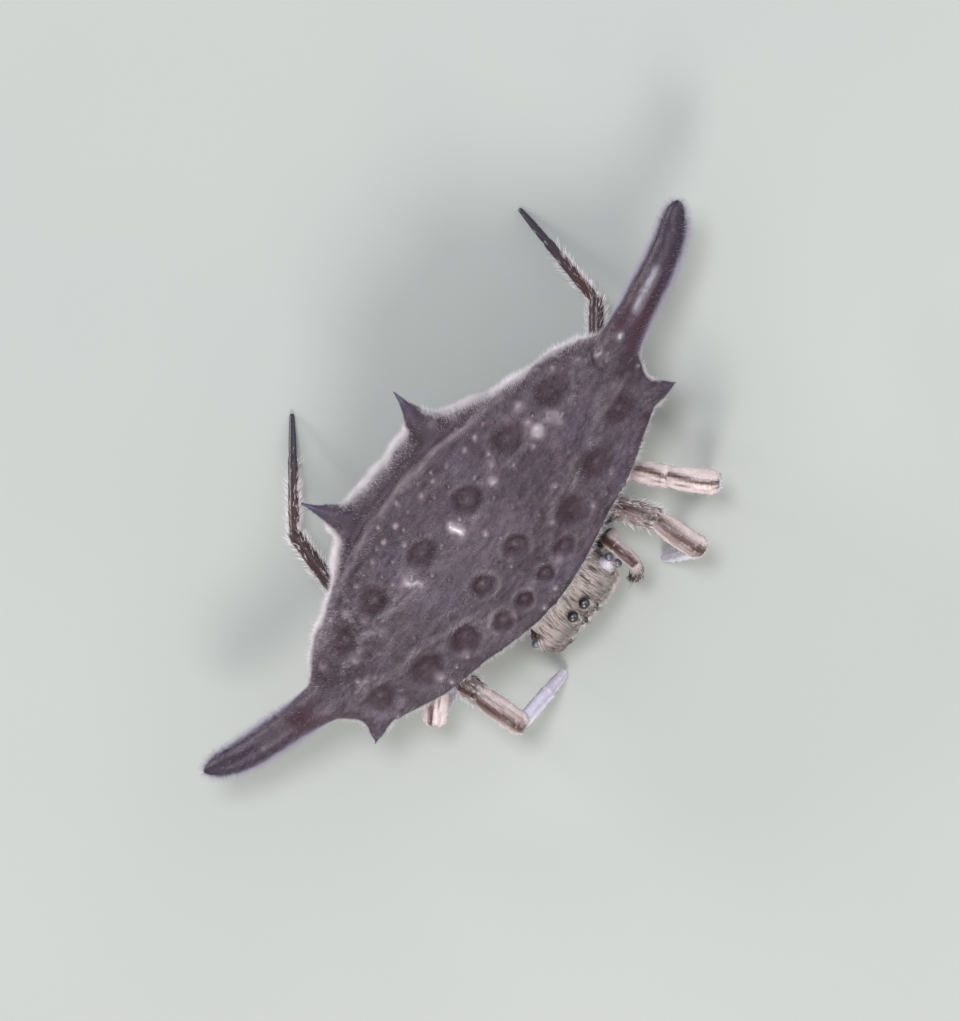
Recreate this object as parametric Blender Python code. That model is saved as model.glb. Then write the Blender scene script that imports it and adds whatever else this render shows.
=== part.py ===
# A spiny orb weaver, life size, standing still on eight feet.
# Metres, +Z up. The spider faces -Y, its left side is +X and its feet stand on Z = 0.
# The body is laid out in its own tilted frame: across (to the spider's left), forward and up,
# in millimetres from the centre of the hard disc on the abdomen's back.
import bpy
import bmesh
import math
from mathutils import Vector

MM = 0.001

# Stance
DISC_HEIGHT = 4.80
DISC_PITCH = math.radians(9.0)
SHIFT_BACK = -0.365

# Gaps between neighbouring solids
GAP = 0.28
EYE_GAP = 0.04

# Abdomen: sections across the disc, from the middle to the end that carries the long spine.
# across, then (forward, up) of: front rim, front slope, centre, rear ridge, rear face,
# rear underside, venter, front underside
ABDOMEN_SECTIONS = (
    (0.0, (3.42, -1.38), (2.60, -0.82), (0.90, -0.06), (-1.55, 0.24),
     (-2.34, -0.45), (-2.02, -1.95), (-0.72, -3.30), (1.62, -2.34)),
    (1.3, (3.30, -1.40), (2.50, -0.86), (0.88, -0.08), (-1.50, 0.26),
     (-2.36, -0.40), (-1.96, -1.85), (-0.58, -3.00), (1.66, -2.32)),
    (2.6, (3.00, -1.45), (2.28, -0.95), (0.82, -0.20), (-1.20, 0.08),
     (-1.80, -0.62), (-1.42, -1.75), (-0.20, -2.62), (1.70, -2.26)),
    (3.9, (2.78, -1.50), (2.05, -1.06), (0.80, -0.50), (-0.80, -0.48),
     (-1.13, -1.00), (-0.75, -1.75), (0.30, -2.38), (1.72, -2.20)),
    (5.0, (2.36, -1.62), (1.80, -1.28), (0.78, -0.92), (-0.50, -0.98),
     (-0.88, -1.36), (-0.50, -1.88), (0.60, -2.28), (1.60, -2.18)),
    (5.8, (2.06, -1.74), (1.56, -1.46), (0.70, -1.18), (-0.16, -1.25),
     (-0.48, -1.58), (-0.18, -1.98), (0.52, -2.18), (1.36, -2.14)),
    (6.35, (1.16, -1.64), (0.98, -1.42), (0.48, -1.28), (0.04, -1.40),
     (-0.14, -1.62), (0.00, -1.86), (0.44, -1.96), (0.94, -1.86)),
)
SECTION_STEPS = 4
STATIONS_PER_SIDE = 18
# How far the sections are drawn together towards the ends, from 0 to 1
STATION_EASING = 0.35

# Spines of the left side: across, forward, up, radius
LONG_SPINE = (
    (5.30, 0.54, -1.62, 0.50), (6.00, 0.46, -1.60, 0.62), (6.60, 0.31, -1.64, 0.60),
    (7.50, 0.10, -1.92, 0.54), (8.35, -0.10, -2.18, 0.52), (9.10, -0.33, -2.30, 0.49),
    (9.66, -0.60, -2.28, 0.42), (9.98, -0.78, -2.24, 0.29), (10.12, -0.87, -2.22, 0.12),
)
FRONT_SPINE = ((5.35, 1.62, -1.68, 0.42), (5.80, 1.84, -1.80, 0.38), (6.10, 2.00, -1.89, 0.24),
               (6.26, 2.09, -1.94, 0.13), (6.42, 2.17, -1.98, 0.05))
REAR_SPINE = ((1.52, -1.45, -0.52, 0.60), (1.60, -2.02, -0.34, 0.55), (1.69, -2.36, -0.15, 0.38),
              (1.77, -2.64, -0.02, 0.23), (1.87, -2.97, 0.08, 0.13), (1.96, -3.32, 0.18, 0.05))

# Sigilla, the dark dished scars on the disc: across, forward, half length, half width
SIGILLA = (
    (5.12, 1.46, 0.46, 0.37), (3.68, 1.92, 0.50, 0.35), (2.26, 2.22, 0.40, 0.33),
    (1.30, 2.66, 0.30, 0.22), (0.46, 2.72, 0.24, 0.20),
    (4.38, -0.20, 0.46, 0.34), (2.87, -0.26, 0.42, 0.34),
    (0.95, -0.06, 0.40, 0.32), (0.71, 1.67, 0.32, 0.26),
    (1.96, -0.94, 0.19, 0.16), (1.34, -1.04, 0.18, 0.16),
    (0.78, -1.06, 0.18, 0.15), (0.28, -1.05, 0.17, 0.15),
)
DISH_HALF_DEPTH = 0.20
DISH_LIFT = 0.10
SLOPE_STEP = 0.1

# Spinnerets
SPINNERET_BASE = (0.0, -0.74)
SPINNERET_RING_RADIUS = 0.62
SPINNERET_RING_TAPER = 0.86
SPINNERET_RING_HEIGHT = 0.34
SPINNERET_LENGTH = 0.42
# Lobes: forward of the middle, lean, then across and radius at root, middle and tip
SPINNERET_LOBES = ((0.26, 0.10), (-0.26, -0.12))
LOBE_ACROSS = (0.26, 0.24, 0.20)
LOBE_RADII = (0.24, 0.22, 0.12)
LOBE_ROOT = 0.4

# Head and thorax: sections from the rear to the front of the head.
# forward, half width, top, bottom
CARAPACE_SECTIONS = (
    (0.25, 0.60, -3.28, -3.64), (0.70, 1.20, -3.16, -3.74), (1.40, 1.56, -2.94, -3.78),
    (2.10, 1.62, -2.50, -3.78), (2.75, 1.52, -2.00, -3.70), (3.30, 1.44, -1.76, -3.44),
    (3.78, 1.42, -1.76, -3.10), (4.12, 1.32, -1.94, -2.96), (4.30, 1.04, -2.18, -2.84),
)
CARAPACE_SQUARENESS = 2.6
CARAPACE_STATIONS = 22
CARAPACE_SIDES = 24
EYE_TUBERCLE = (1.32, 3.78, -2.26, 0.31)
PEDICEL_RADIUS = 0.34
PEDICEL_FORWARD = 0.72
PEDICEL_FOOT = -3.40

# Eyes of the left side: name, across, forward, up, radius
EYES = (
    ("eye_median_rear", 0.24, 3.98, -1.81, 0.15), ("eye_median_front", 0.24, 4.26, -2.20, 0.12),
    ("eye_lateral_rear", 1.54, 3.70, -2.14, 0.12), ("eye_lateral_front", 1.50, 3.98, -2.32, 0.12),
)

# Jaws and palps of the left side: across, forward, up, radius
CHELICERA = ((0.45, 3.84, -3.30, 0.34), (0.46, 3.92, -3.44, 0.41), (0.46, 3.90, -3.66, 0.38),
             (0.44, 3.84, -3.84, 0.26))
FANG = ((0.42, 3.86, -3.66, 0.15), (0.34, 3.78, -3.92, 0.12), (0.22, 3.62, -4.00, 0.05))
PALP_LEFT = (
    (0.98, 3.30, -3.86, 0.25), (1.42, 3.38, -3.68, 0.25), (1.75, 3.40, -3.10, 0.25),
    (1.78, 3.36, -2.50, 0.25), (1.88, 3.54, -2.10, 0.25), (1.92, 3.92, -1.98, 0.25),
    (1.86, 4.30, -2.14, 0.25), (1.62, 4.50, -2.48, 0.22), (1.36, 4.52, -2.82, 0.12),
)
PALP_RIGHT = (
    (0.98, 3.30, -3.86, 0.25), (1.44, 3.34, -3.66, 0.25), (1.66, 3.56, -3.20, 0.25),
    (1.66, 3.92, -3.10, 0.26), (1.56, 4.14, -3.36, 0.26), (1.42, 4.20, -3.66, 0.24),
    (1.30, 4.16, -3.90, 0.12),
)

# Legs. Each one: side, then the hip's place along the thorax and its angle in degrees forward
# of straight out, then across, forward, up of knee, patella's end and ankle, and across and
# forward of the foot on the floor.
LEGS = {
    "L1": (1, (2.80, 22.0), (2.81, 3.14, -2.02), (3.20, 4.01, -1.92), (3.33, 5.36, -1.98),
           (1.95, 4.86)),
    "R1": (-1, (2.80, 0.0), (3.66, 2.54, -2.34), (3.54, 3.38, -2.00), (3.44, 4.73, -1.98),
           (2.24, 4.77)),
    "L2": (1, (2.06, 10.0), (3.66, 2.72, -2.46), (4.20, 3.53, -2.22), (4.90, 4.57, -2.18),
           (4.00, 4.50)),
    "R2": (-1, (2.06, 2.0), (3.52, 1.86, -2.86), (4.23, 2.49, -2.44), (5.02, 2.94, -2.56),
           (4.45, 2.82)),
    "L3": (1, (1.32, -6.0), (3.05, 1.46, -2.96), (3.68, 1.50, -3.06), (4.40, 1.56, -3.60),
           (4.32, 1.28)),
    "R3": (-1, (1.32, -12.0), (2.96, 0.92, -2.98), (3.56, 0.76, -3.06), (4.30, 0.44, -3.60),
           (4.26, 0.16)),
    "L4": (1, (0.60, -36.0), (3.74, 0.60, -2.94), (4.54, 0.70, -3.20), (6.12, -0.78, -3.92),
           (6.28, -3.84)),
    "R4": (-1, (0.60, -36.0), (3.60, 0.06, -2.92), (4.36, -0.52, -3.12), (4.00, -2.98, -3.92),
           (2.05, -5.02)),
}
HIP_UP = -3.34
HIP_REACH = 0.62
# Thickness along a leg: the joint that a station follows (hip, trochanter, knee, patella's end,
# ankle), how far it is towards the next, its radius on legs 1 to 3, and on leg 4
LEG_STATIONS = (
    (0, 0.00, 0.30, 0.31), (0, 0.60, 0.30, 0.31), (1, 0.00, 0.28, 0.28), (1, 0.45, 0.38, 0.36),
    (1, 0.90, 0.29, 0.27), (2, 0.50, 0.36, 0.29), (3, 0.00, 0.30, 0.25), (3, 0.50, 0.38, 0.27),
    (3, 0.93, 0.32, 0.25), (4, 0.12, 0.28, 0.25), (4, 0.55, 0.27, 0.25), (4, 0.85, 0.22, 0.21),
    (4, 1.00, 0.13, 0.12),
)
FOOT_SINK = 0.06

# Distances for welding points, in metres
CURVE_WELD = 1e-7
UNION_WELD = 2e-8
SHARP_ANGLE = math.radians(50.0)


def place(across, forward, up):
    """Turn body millimetres into metres in the part's frame."""
    back = -forward
    y = back * math.cos(DISC_PITCH) - up * math.sin(DISC_PITCH) + SHIFT_BACK
    z = back * math.sin(DISC_PITCH) + up * math.cos(DISC_PITCH) + DISC_HEIGHT
    return Vector((across, y, z)) * MM


def clear_scene():
    for item in list(bpy.data.objects):
        bpy.data.objects.remove(item, do_unlink=True)


def new_material(name, colour, roughness):
    material = bpy.data.materials.new(name)
    material.use_nodes = True
    shader = material.node_tree.nodes["Principled BSDF"]
    shader.inputs["Base Color"].default_value = (*colour, 1.0)
    shader.inputs["Roughness"].default_value = roughness
    shader.inputs["Metallic"].default_value = 0.0
    return material


def new_object(name, mesh, material=None):
    item = bpy.data.objects.new(name, mesh)
    bpy.data.collections["spiny_orb_weaver"].objects.link(item)
    if material:
        mesh.materials.clear()
        mesh.materials.append(material)
    return item


def blend(values, position, closed):
    """Smooth curve through equal-length tuples, at a position counted in points."""
    count = len(values)
    start = int(math.floor(position))
    if not closed:
        start = min(max(start, 0), count - 2)
    t = position - start

    def pick(index):
        if closed:
            return values[index % count]
        return values[min(max(index, 0), count - 1)]

    a, b, c, d = (pick(start + step) for step in (-1, 0, 1, 2))
    return tuple(
        0.5 * (2 * q + (r - p) * t + (2 * p - 5 * q + 4 * r - s) * t * t
               + (3 * q - p - 3 * r + s) * t * t * t)
        for p, q, r, s in zip(a, b, c, d))


def smooth_path(points, steps):
    total = (len(points) - 1) * steps
    return [blend(points, index / steps, False) for index in range(total + 1)]


def tube(name, path, material=None, sides=2):
    """A closed round tube through points of (across, forward, up, radius), as a mesh."""
    curve = bpy.data.curves.new(name, "CURVE")
    curve.dimensions = "3D"
    curve.bevel_depth = MM
    curve.bevel_resolution = sides
    curve.use_fill_caps = True
    spline = curve.splines.new("POLY")
    spline.points.add(len(path) - 1)
    for point, (x, y, z, radius) in zip(spline.points, path):
        point.co = (*place(x, y, z), 1.0)
        point.radius = radius
    guide = bpy.data.objects.new(name + "_guide", curve)
    bpy.data.collections["spiny_orb_weaver"].objects.link(guide)
    bpy.context.view_layer.update()
    evaluated = guide.evaluated_get(bpy.context.evaluated_depsgraph_get())
    mesh = bpy.data.meshes.new_from_object(evaluated)
    mesh.name = name
    item = new_object(name, mesh, material)
    item.matrix_world = guide.matrix_world.copy()
    bpy.data.objects.remove(guide, do_unlink=True)
    weld(mesh)
    return item


def weld(mesh):
    model = bmesh.new()
    model.from_mesh(mesh)
    bmesh.ops.remove_doubles(model, verts=model.verts, dist=CURVE_WELD)
    bmesh.ops.recalc_face_normals(model, faces=model.faces)
    model.to_mesh(mesh)
    model.free()


def ball(name, centre, half_sizes, segments=12, rings=8, turn=None):
    """A round or flattened ball, its half sizes given across, back and up in millimetres."""
    model = bmesh.new()
    bmesh.ops.create_uvsphere(model, u_segments=segments, v_segments=rings, radius=1.0)
    for vertex in model.verts:
        local = Vector(half * value for half, value in zip(half_sizes, vertex.co))
        if turn:
            local.rotate(turn)
        vertex.co = centre + local * MM
    mesh = bpy.data.meshes.new(name)
    model.to_mesh(mesh)
    model.free()
    return new_object(name, mesh)


def loft(name, rings, material=None):
    """A closed solid through rings of equal point counts, ended by flat caps."""
    model = bmesh.new()
    loops = [[model.verts.new(point) for point in ring] for ring in rings]
    count = len(rings[0])
    for first, second in zip(loops, loops[1:]):
        for index in range(count):
            after = (index + 1) % count
            model.faces.new((first[index], first[after], second[after], second[index]))
    for end in (loops[0], loops[-1]):
        model.faces.new(end)
    bmesh.ops.recalc_face_normals(model, faces=model.faces)
    bmesh.ops.triangulate(model, faces=model.faces)
    mesh = bpy.data.meshes.new(name)
    model.to_mesh(mesh)
    model.free()
    return new_object(name, mesh, material)


def combine(item, pieces, operation):
    """Join pieces to an item, or cut them from it, and keep the one closed body."""
    group = bpy.data.collections.new(item.name + "_pieces")
    bpy.context.scene.collection.children.link(group)
    for piece in pieces:
        for owner in list(piece.users_collection):
            owner.objects.unlink(piece)
        group.objects.link(piece)
    modifier = item.modifiers.new("combine", "BOOLEAN")
    modifier.operation = operation
    modifier.operand_type = "COLLECTION"
    modifier.collection = group
    modifier.solver = "EXACT"
    bpy.context.view_layer.update()
    evaluated = item.evaluated_get(bpy.context.evaluated_depsgraph_get())
    mesh = bpy.data.meshes.new_from_object(evaluated)
    item.modifiers.clear()
    old_mesh = item.data
    item.data = mesh
    bpy.data.meshes.remove(old_mesh)
    for piece in pieces:
        bpy.data.objects.remove(piece, do_unlink=True)
    bpy.data.collections.remove(group)
    keep_largest(item)


def keep_largest(item):
    model = bmesh.new()
    model.from_mesh(item.data)
    bmesh.ops.remove_doubles(model, verts=model.verts, dist=UNION_WELD)
    waiting = set(model.verts)
    surfaces = []
    while waiting:
        surface = set()
        queue = [waiting.pop()]
        while queue:
            vertex = queue.pop()
            surface.add(vertex)
            for edge in vertex.link_edges:
                other = edge.other_vert(vertex)
                if other in waiting:
                    waiting.discard(other)
                    queue.append(other)
        surfaces.append(surface)
    surfaces.sort(key=len, reverse=True)
    scraps = [vertex for surface in surfaces[1:] for vertex in surface]
    bmesh.ops.delete(model, geom=scraps, context="VERTS")
    bmesh.ops.triangulate(model, faces=model.faces)
    model.to_mesh(item.data)
    model.free()


def cut_at_floor(item):
    """Give a leg its small flat at the height of the floor."""
    model = bmesh.new()
    model.from_mesh(item.data)
    everything = model.verts[:] + model.edges[:] + model.faces[:]
    cut = bmesh.ops.bisect_plane(model, geom=everything, plane_co=(0, 0, 0), plane_no=(0, 0, 1),
                                 clear_inner=True)
    rim = [piece for piece in cut["geom_cut"] if isinstance(piece, bmesh.types.BMEdge)]
    bmesh.ops.contextual_create(model, geom=rim)
    for vertex in model.verts:
        if abs(vertex.co.z) < 1e-8:
            vertex.co.z = 0.0
    bmesh.ops.recalc_face_normals(model, faces=model.faces)
    bmesh.ops.triangulate(model, faces=model.faces)
    model.to_mesh(item.data)
    model.free()


def shade(item):
    item.data.shade_smooth()
    item.data.set_sharp_from_angle(angle=SHARP_ANGLE)


def abdomen_section(across):
    """The closed outline of the abdomen at a distance across, as (forward, up) points."""
    distance = abs(across)
    stations = [row[0] for row in ABDOMEN_SECTIONS]
    index = max(i for i in range(len(stations) - 1) if stations[i] <= distance)
    span = stations[index + 1] - stations[index]
    position = index + (distance - stations[index]) / span
    rows = [[value for pair in row[1:] for value in pair] for row in ABDOMEN_SECTIONS]
    mirrored = [rows[1]] + rows
    flat = blend(mirrored, position + 1, False)
    corners = list(zip(flat[0::2], flat[1::2]))
    total = len(corners) * SECTION_STEPS
    return [blend(corners, step / SECTION_STEPS, True) for step in range(total)]


def disc_height(across, forward):
    """Height of the disc's upper surface above a place on it."""
    outline = abdomen_section(across)
    upper = outline[:4 * SECTION_STEPS]
    for (f0, u0), (f1, u1) in zip(upper, upper[1:]):
        if f1 <= forward <= f0:
            return u0 + (u1 - u0) * (forward - f0) / (f1 - f0)
    return upper[0][1]


def disc_normal(across, forward, side):
    """Direction straight out of the disc at a place on one side of it."""
    step = SLOPE_STEP
    rise_across = disc_height(across + step, forward) - disc_height(across - step, forward)
    rise_forward = disc_height(across, forward + step) - disc_height(across, forward - step)
    origin = place(0, 0, 0)
    normal = (place(0, 0, 1) - origin) * 2 * step
    normal -= (place(side, 0, 0) - origin) * rise_across
    normal -= (place(0, 1, 0) - origin) * rise_forward
    return normal.normalized()


def venter_height(forward):
    """Height of the abdomen's underside on the middle line."""
    outline = abdomen_section(0.0)
    lower = outline[5 * SECTION_STEPS:]
    for (f0, u0), (f1, u1) in zip(lower, lower[1:]):
        if f0 <= forward <= f1:
            return u0 + (u1 - u0) * (forward - f0) / (f1 - f0)
    return lower[0][1]


def mirror(points, side):
    return [(point[0] * side, *point[1:]) for point in points]


def make_abdomen(material):
    last = ABDOMEN_SECTIONS[-1][0]
    rings = []
    for index in range(-STATIONS_PER_SIDE, STATIONS_PER_SIDE + 1):
        portion = index / STATIONS_PER_SIDE
        eased = math.sin(portion * math.pi / 2)
        across = last * (portion + (eased - portion) * STATION_EASING)
        rings.append([place(across, forward, up) for forward, up in abdomen_section(across)])
    abdomen = loft("abdomen", rings, material)
    spines = []
    for side in (1, -1):
        spines.append(tube("long_spine", smooth_path(mirror(LONG_SPINE, side), 2), sides=4))
        spines.append(tube("front_spine", smooth_path(mirror(FRONT_SPINE, side), 2), sides=4))
        spines.append(tube("rear_spine", smooth_path(mirror(REAR_SPINE, side), 2), sides=4))
    combine(abdomen, spines, "UNION")
    dishes = []
    for across, forward, half_length, half_width in SIGILLA:
        for side in (1, -1):
            normal = disc_normal(across, forward, side)
            turn = normal.to_track_quat("Z", "Y")
            height = disc_height(across, forward)
            centre = place(across * side, forward, height) + normal * DISH_LIFT * MM
            sizes = (half_length, half_width, DISH_HALF_DEPTH)
            dishes.append(ball("dish", centre, sizes, turn=turn))
    combine(abdomen, dishes, "DIFFERENCE")
    return abdomen


def make_spinnerets(material):
    across, forward = SPINNERET_BASE
    top = venter_height(forward) - GAP
    radius = SPINNERET_RING_RADIUS
    ring_path = [(across, forward, top, radius),
                 (across, forward, top - SPINNERET_RING_HEIGHT, radius * SPINNERET_RING_TAPER)]
    ring = tube("spinnerets", ring_path, material, sides=4)
    start = top - SPINNERET_RING_HEIGHT * LOBE_ROOT
    finish = top - SPINNERET_RING_HEIGHT - SPINNERET_LENGTH
    heights = (start, (start + finish) / 2, finish)
    lobes = []
    for side in (1, -1):
        for ahead, lean in SPINNERET_LOBES:
            leans = (0.0, lean / 2, lean)
            path = [(side * out, forward + ahead + shift, height, size)
                    for out, shift, height, size in zip(LOBE_ACROSS, leans, heights, LOBE_RADII)]
            lobes.append(tube("lobe", path))
    combine(ring, lobes, "UNION")
    return ring


def carapace_row(forward):
    rows = CARAPACE_SECTIONS
    index = max(i for i in range(len(rows) - 1) if rows[i][0] <= forward)
    position = index + (forward - rows[index][0]) / (rows[index + 1][0] - rows[index][0])
    return blend(rows, position, False)


def make_cephalothorax(material):
    first = CARAPACE_SECTIONS[0][0]
    last = CARAPACE_SECTIONS[-1][0]
    rings = []
    for index in range(CARAPACE_STATIONS + 1):
        portion = index / CARAPACE_STATIONS
        eased = 0.5 - 0.5 * math.cos(math.pi * portion)
        forward = first + (last - first) * (portion + eased) / 2
        _, half_width, top, bottom = carapace_row(forward)
        middle = (top + bottom) / 2
        half_height = (top - bottom) / 2
        ring = []
        for step in range(CARAPACE_SIDES):
            angle = 2 * math.pi * step / CARAPACE_SIDES
            power = 2 / CARAPACE_SQUARENESS
            c = math.copysign(abs(math.cos(angle)) ** power, math.cos(angle))
            s = math.copysign(abs(math.sin(angle)) ** power, math.sin(angle))
            ring.append(place(half_width * c, forward, middle + half_height * s))
        rings.append(ring)
    body = loft("cephalothorax", rings, material)
    pieces = []
    for side in (1, -1):
        across, forward, up, radius = EYE_TUBERCLE
        pieces.append(ball("tubercle", place(across * side, forward, up), (radius,) * 3))
    pedicel_rear = PEDICEL_FORWARD - PEDICEL_RADIUS
    pedicel_top = min(venter_height(PEDICEL_FORWARD), venter_height(pedicel_rear)) - GAP
    pieces.append(tube("pedicel", [(0, PEDICEL_FORWARD, PEDICEL_FOOT, PEDICEL_RADIUS),
                                   (0, PEDICEL_FORWARD, pedicel_top, PEDICEL_RADIUS)]))
    combine(body, pieces, "UNION")
    sockets = []
    for _, across, forward, up, radius in EYES:
        for side in (1, -1):
            size = radius + EYE_GAP
            sockets.append(ball("socket", place(across * side, forward, up), (size, size, size),
                                segments=10, rings=6))
    combine(body, sockets, "DIFFERENCE")
    return body


def make_eyes(material):
    for name, across, forward, up, radius in EYES:
        for side, letter in ((1, "L"), (-1, "R")):
            eye = ball(name + "_" + letter, place(across * side, forward, up),
                       (radius, radius, radius), segments=10, rings=6)
            eye.data.materials.append(material)
            shade(eye)


def make_chelicerae(material):
    for side, letter in ((1, "L"), (-1, "R")):
        jaw = tube("chelicera_" + letter, smooth_path(mirror(CHELICERA, side), 2), material)
        fang = tube("fang", smooth_path(mirror(FANG, side), 2))
        combine(jaw, [fang], "UNION")
        shade(jaw)


def make_palps(material):
    for points, side, letter in ((PALP_LEFT, 1, "L"), (PALP_RIGHT, -1, "R")):
        palp = tube("pedipalp_" + letter, smooth_path(mirror(points, side), 2), material)
        shade(palp)


def between(first, second, portion):
    return tuple(a + (b - a) * portion for a, b in zip(first, second))


def leg_points(side, hip, knee, patella_end, ankle, foot, hind):
    """The leg's middle line as (across, forward, up, radius), from hip to claw."""
    hip_forward, degrees = hip
    angle = math.radians(degrees)
    start = (carapace_row(hip_forward)[1] + GAP, hip_forward, HIP_UP)
    trochanter = (start[0] + math.cos(angle) * HIP_REACH,
                  start[1] + math.sin(angle) * HIP_REACH, HIP_UP)
    low = (-FOOT_SINK - DISC_HEIGHT + foot[1] * math.sin(DISC_PITCH)) / math.cos(DISC_PITCH)
    joints = (start, trochanter, knee, patella_end, ankle, (*foot, low))
    points = []
    for joint, portion, front_radius, hind_radius in LEG_STATIONS:
        across, forward, up = between(joints[joint], joints[joint + 1], portion)
        points.append((across * side, forward, up, hind_radius if hind else front_radius))
    return points


def make_legs(material):
    for name, leg_row in LEGS.items():
        points = leg_points(*leg_row, hind=name.endswith("4"))
        leg = tube("leg_" + name, smooth_path(points, 2), material)
        cut_at_floor(leg)
        shade(leg)


def main():
    clear_scene()
    group = bpy.data.collections.new("spiny_orb_weaver")
    bpy.context.scene.collection.children.link(group)
    shell = new_material("abdomen_shell", (0.075, 0.055, 0.065), 0.45)
    carapace = new_material("carapace_hair", (0.33, 0.25, 0.24), 0.7)
    leg_skin = new_material("leg_hair", (0.36, 0.26, 0.25), 0.65)
    jaw = new_material("jaw", (0.10, 0.045, 0.035), 0.4)
    eye = new_material("eye", (0.02, 0.015, 0.015), 0.08)
    silk_organ = new_material("spinneret", (0.09, 0.05, 0.045), 0.5)
    shade(make_abdomen(shell))
    shade(make_spinnerets(silk_organ))
    shade(make_cephalothorax(carapace))
    make_eyes(eye)
    make_chelicerae(jaw)
    make_palps(leg_skin)
    make_legs(leg_skin)


main()
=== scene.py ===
import math
import bpy
import numpy as np
from mathutils import Matrix, Vector, noise
from mathutils.kdtree import KDTree


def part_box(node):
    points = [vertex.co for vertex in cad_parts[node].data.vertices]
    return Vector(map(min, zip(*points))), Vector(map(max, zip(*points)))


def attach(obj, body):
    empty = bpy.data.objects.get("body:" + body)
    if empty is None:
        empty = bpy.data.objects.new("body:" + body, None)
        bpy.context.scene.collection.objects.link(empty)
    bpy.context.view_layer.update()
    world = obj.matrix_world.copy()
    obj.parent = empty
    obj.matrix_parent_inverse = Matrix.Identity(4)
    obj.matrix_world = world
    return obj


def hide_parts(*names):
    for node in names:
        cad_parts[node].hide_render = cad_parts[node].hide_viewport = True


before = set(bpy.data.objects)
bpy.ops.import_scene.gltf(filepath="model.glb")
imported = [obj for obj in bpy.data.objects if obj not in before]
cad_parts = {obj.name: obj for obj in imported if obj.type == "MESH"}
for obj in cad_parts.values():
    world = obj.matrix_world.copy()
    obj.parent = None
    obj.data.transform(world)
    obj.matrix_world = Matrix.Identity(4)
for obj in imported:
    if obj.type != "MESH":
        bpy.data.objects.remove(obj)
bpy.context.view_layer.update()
MM = 0.001
RANDOM = np.random.default_rng(11)

# Stance, as in the solids
DISC_HEIGHT = 4.80
DISC_PITCH = math.radians(9.0)
SHIFT_BACK = -0.365

# How far the skin lies inside the solids, which leaves room for the coat
COAT_DEPTH = 0.05
HEAD_COAT = 0.07
SPINE_COAT = 0.14
# Where along a long spine its thick coat starts and is full
SPINE_COAT_START, SPINE_COAT_FULL = 6.0, 7.4

# Abdomen sections: across, then (forward, up) of front rim, front slope, centre, rear ridge,
# rear face, rear underside, venter, front underside
ABDOMEN_SECTIONS = (
    (0.0, (3.42, -1.38), (2.60, -0.82), (0.90, -0.06), (-1.55, 0.24),
     (-2.34, -0.45), (-2.02, -1.95), (-0.72, -3.30), (1.62, -2.34)),
    (1.3, (3.30, -1.40), (2.50, -0.86), (0.88, -0.08), (-1.50, 0.26),
     (-2.36, -0.40), (-1.96, -1.85), (-0.58, -3.00), (1.66, -2.32)),
    (2.6, (3.00, -1.45), (2.28, -0.95), (0.82, -0.20), (-1.20, 0.08),
     (-1.80, -0.62), (-1.42, -1.75), (-0.20, -2.62), (1.70, -2.26)),
    (3.9, (2.78, -1.50), (2.05, -1.06), (0.80, -0.50), (-0.80, -0.48),
     (-1.13, -1.00), (-0.75, -1.75), (0.30, -2.38), (1.72, -2.20)),
    (5.0, (2.36, -1.62), (1.80, -1.28), (0.78, -0.92), (-0.50, -0.98),
     (-0.88, -1.36), (-0.50, -1.88), (0.60, -2.28), (1.60, -2.18)),
    (5.8, (2.06, -1.74), (1.56, -1.46), (0.70, -1.18), (-0.16, -1.25),
     (-0.48, -1.58), (-0.18, -1.98), (0.52, -2.18), (1.36, -2.14)),
    (6.35, (1.16, -1.64), (0.98, -1.42), (0.48, -1.28), (0.04, -1.40),
     (-0.14, -1.62), (0.00, -1.86), (0.44, -1.96), (0.94, -1.86)),
)
STATION_EASING = 0.35

# Spines of the left side: across, forward, up, radius
LONG_SPINE = (
    (5.30, 0.54, -1.62, 0.50), (6.00, 0.46, -1.60, 0.62), (6.60, 0.31, -1.64, 0.60),
    (7.50, 0.10, -1.92, 0.54), (8.35, -0.10, -2.18, 0.52), (9.10, -0.33, -2.30, 0.49),
    (9.66, -0.60, -2.28, 0.42), (9.98, -0.78, -2.24, 0.29), (10.12, -0.87, -2.22, 0.12),
)
FRONT_SPINE = ((5.35, 1.62, -1.68, 0.42), (5.80, 1.84, -1.80, 0.38), (6.10, 2.00, -1.89, 0.24),
               (6.26, 2.09, -1.94, 0.13), (6.42, 2.17, -1.98, 0.05))
REAR_SPINE = ((1.52, -1.45, -0.52, 0.60), (1.60, -2.02, -0.34, 0.55), (1.69, -2.36, -0.15, 0.38),
              (1.77, -2.64, -0.02, 0.23), (1.87, -2.97, 0.08, 0.13), (1.96, -3.32, 0.18, 0.05))
# Where the skin is drawn into smooth hollows: roots of the spines, with a reach
SPINE_ROOTS = ((6.05, -0.15, -1.6, 0.75), (6.25, 1.25, -1.75, 0.75), (5.6, 2.05, -1.8, 0.45),
               (5.35, 1.72, -1.36, 0.45), (1.10, -2.2, -0.4, 0.65), (2.30, -1.90, -0.4, 0.65),
               (1.65, -2.0, 0.15, 0.5))

# Sigilla, the dished scars: across, forward, half length, half width
SIGILLA = (
    (5.12, 1.46, 0.46, 0.37), (3.68, 1.92, 0.50, 0.35), (2.26, 2.22, 0.40, 0.33),
    (1.30, 2.66, 0.30, 0.22), (0.46, 2.72, 0.24, 0.20),
    (4.38, -0.20, 0.46, 0.34), (2.87, -0.26, 0.42, 0.34),
    (0.95, -0.06, 0.40, 0.32), (0.71, 1.67, 0.32, 0.26),
    (1.96, -0.94, 0.19, 0.16), (1.34, -1.04, 0.18, 0.16),
    (0.78, -1.06, 0.18, 0.15), (0.28, -1.05, 0.17, 0.15),
)
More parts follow.
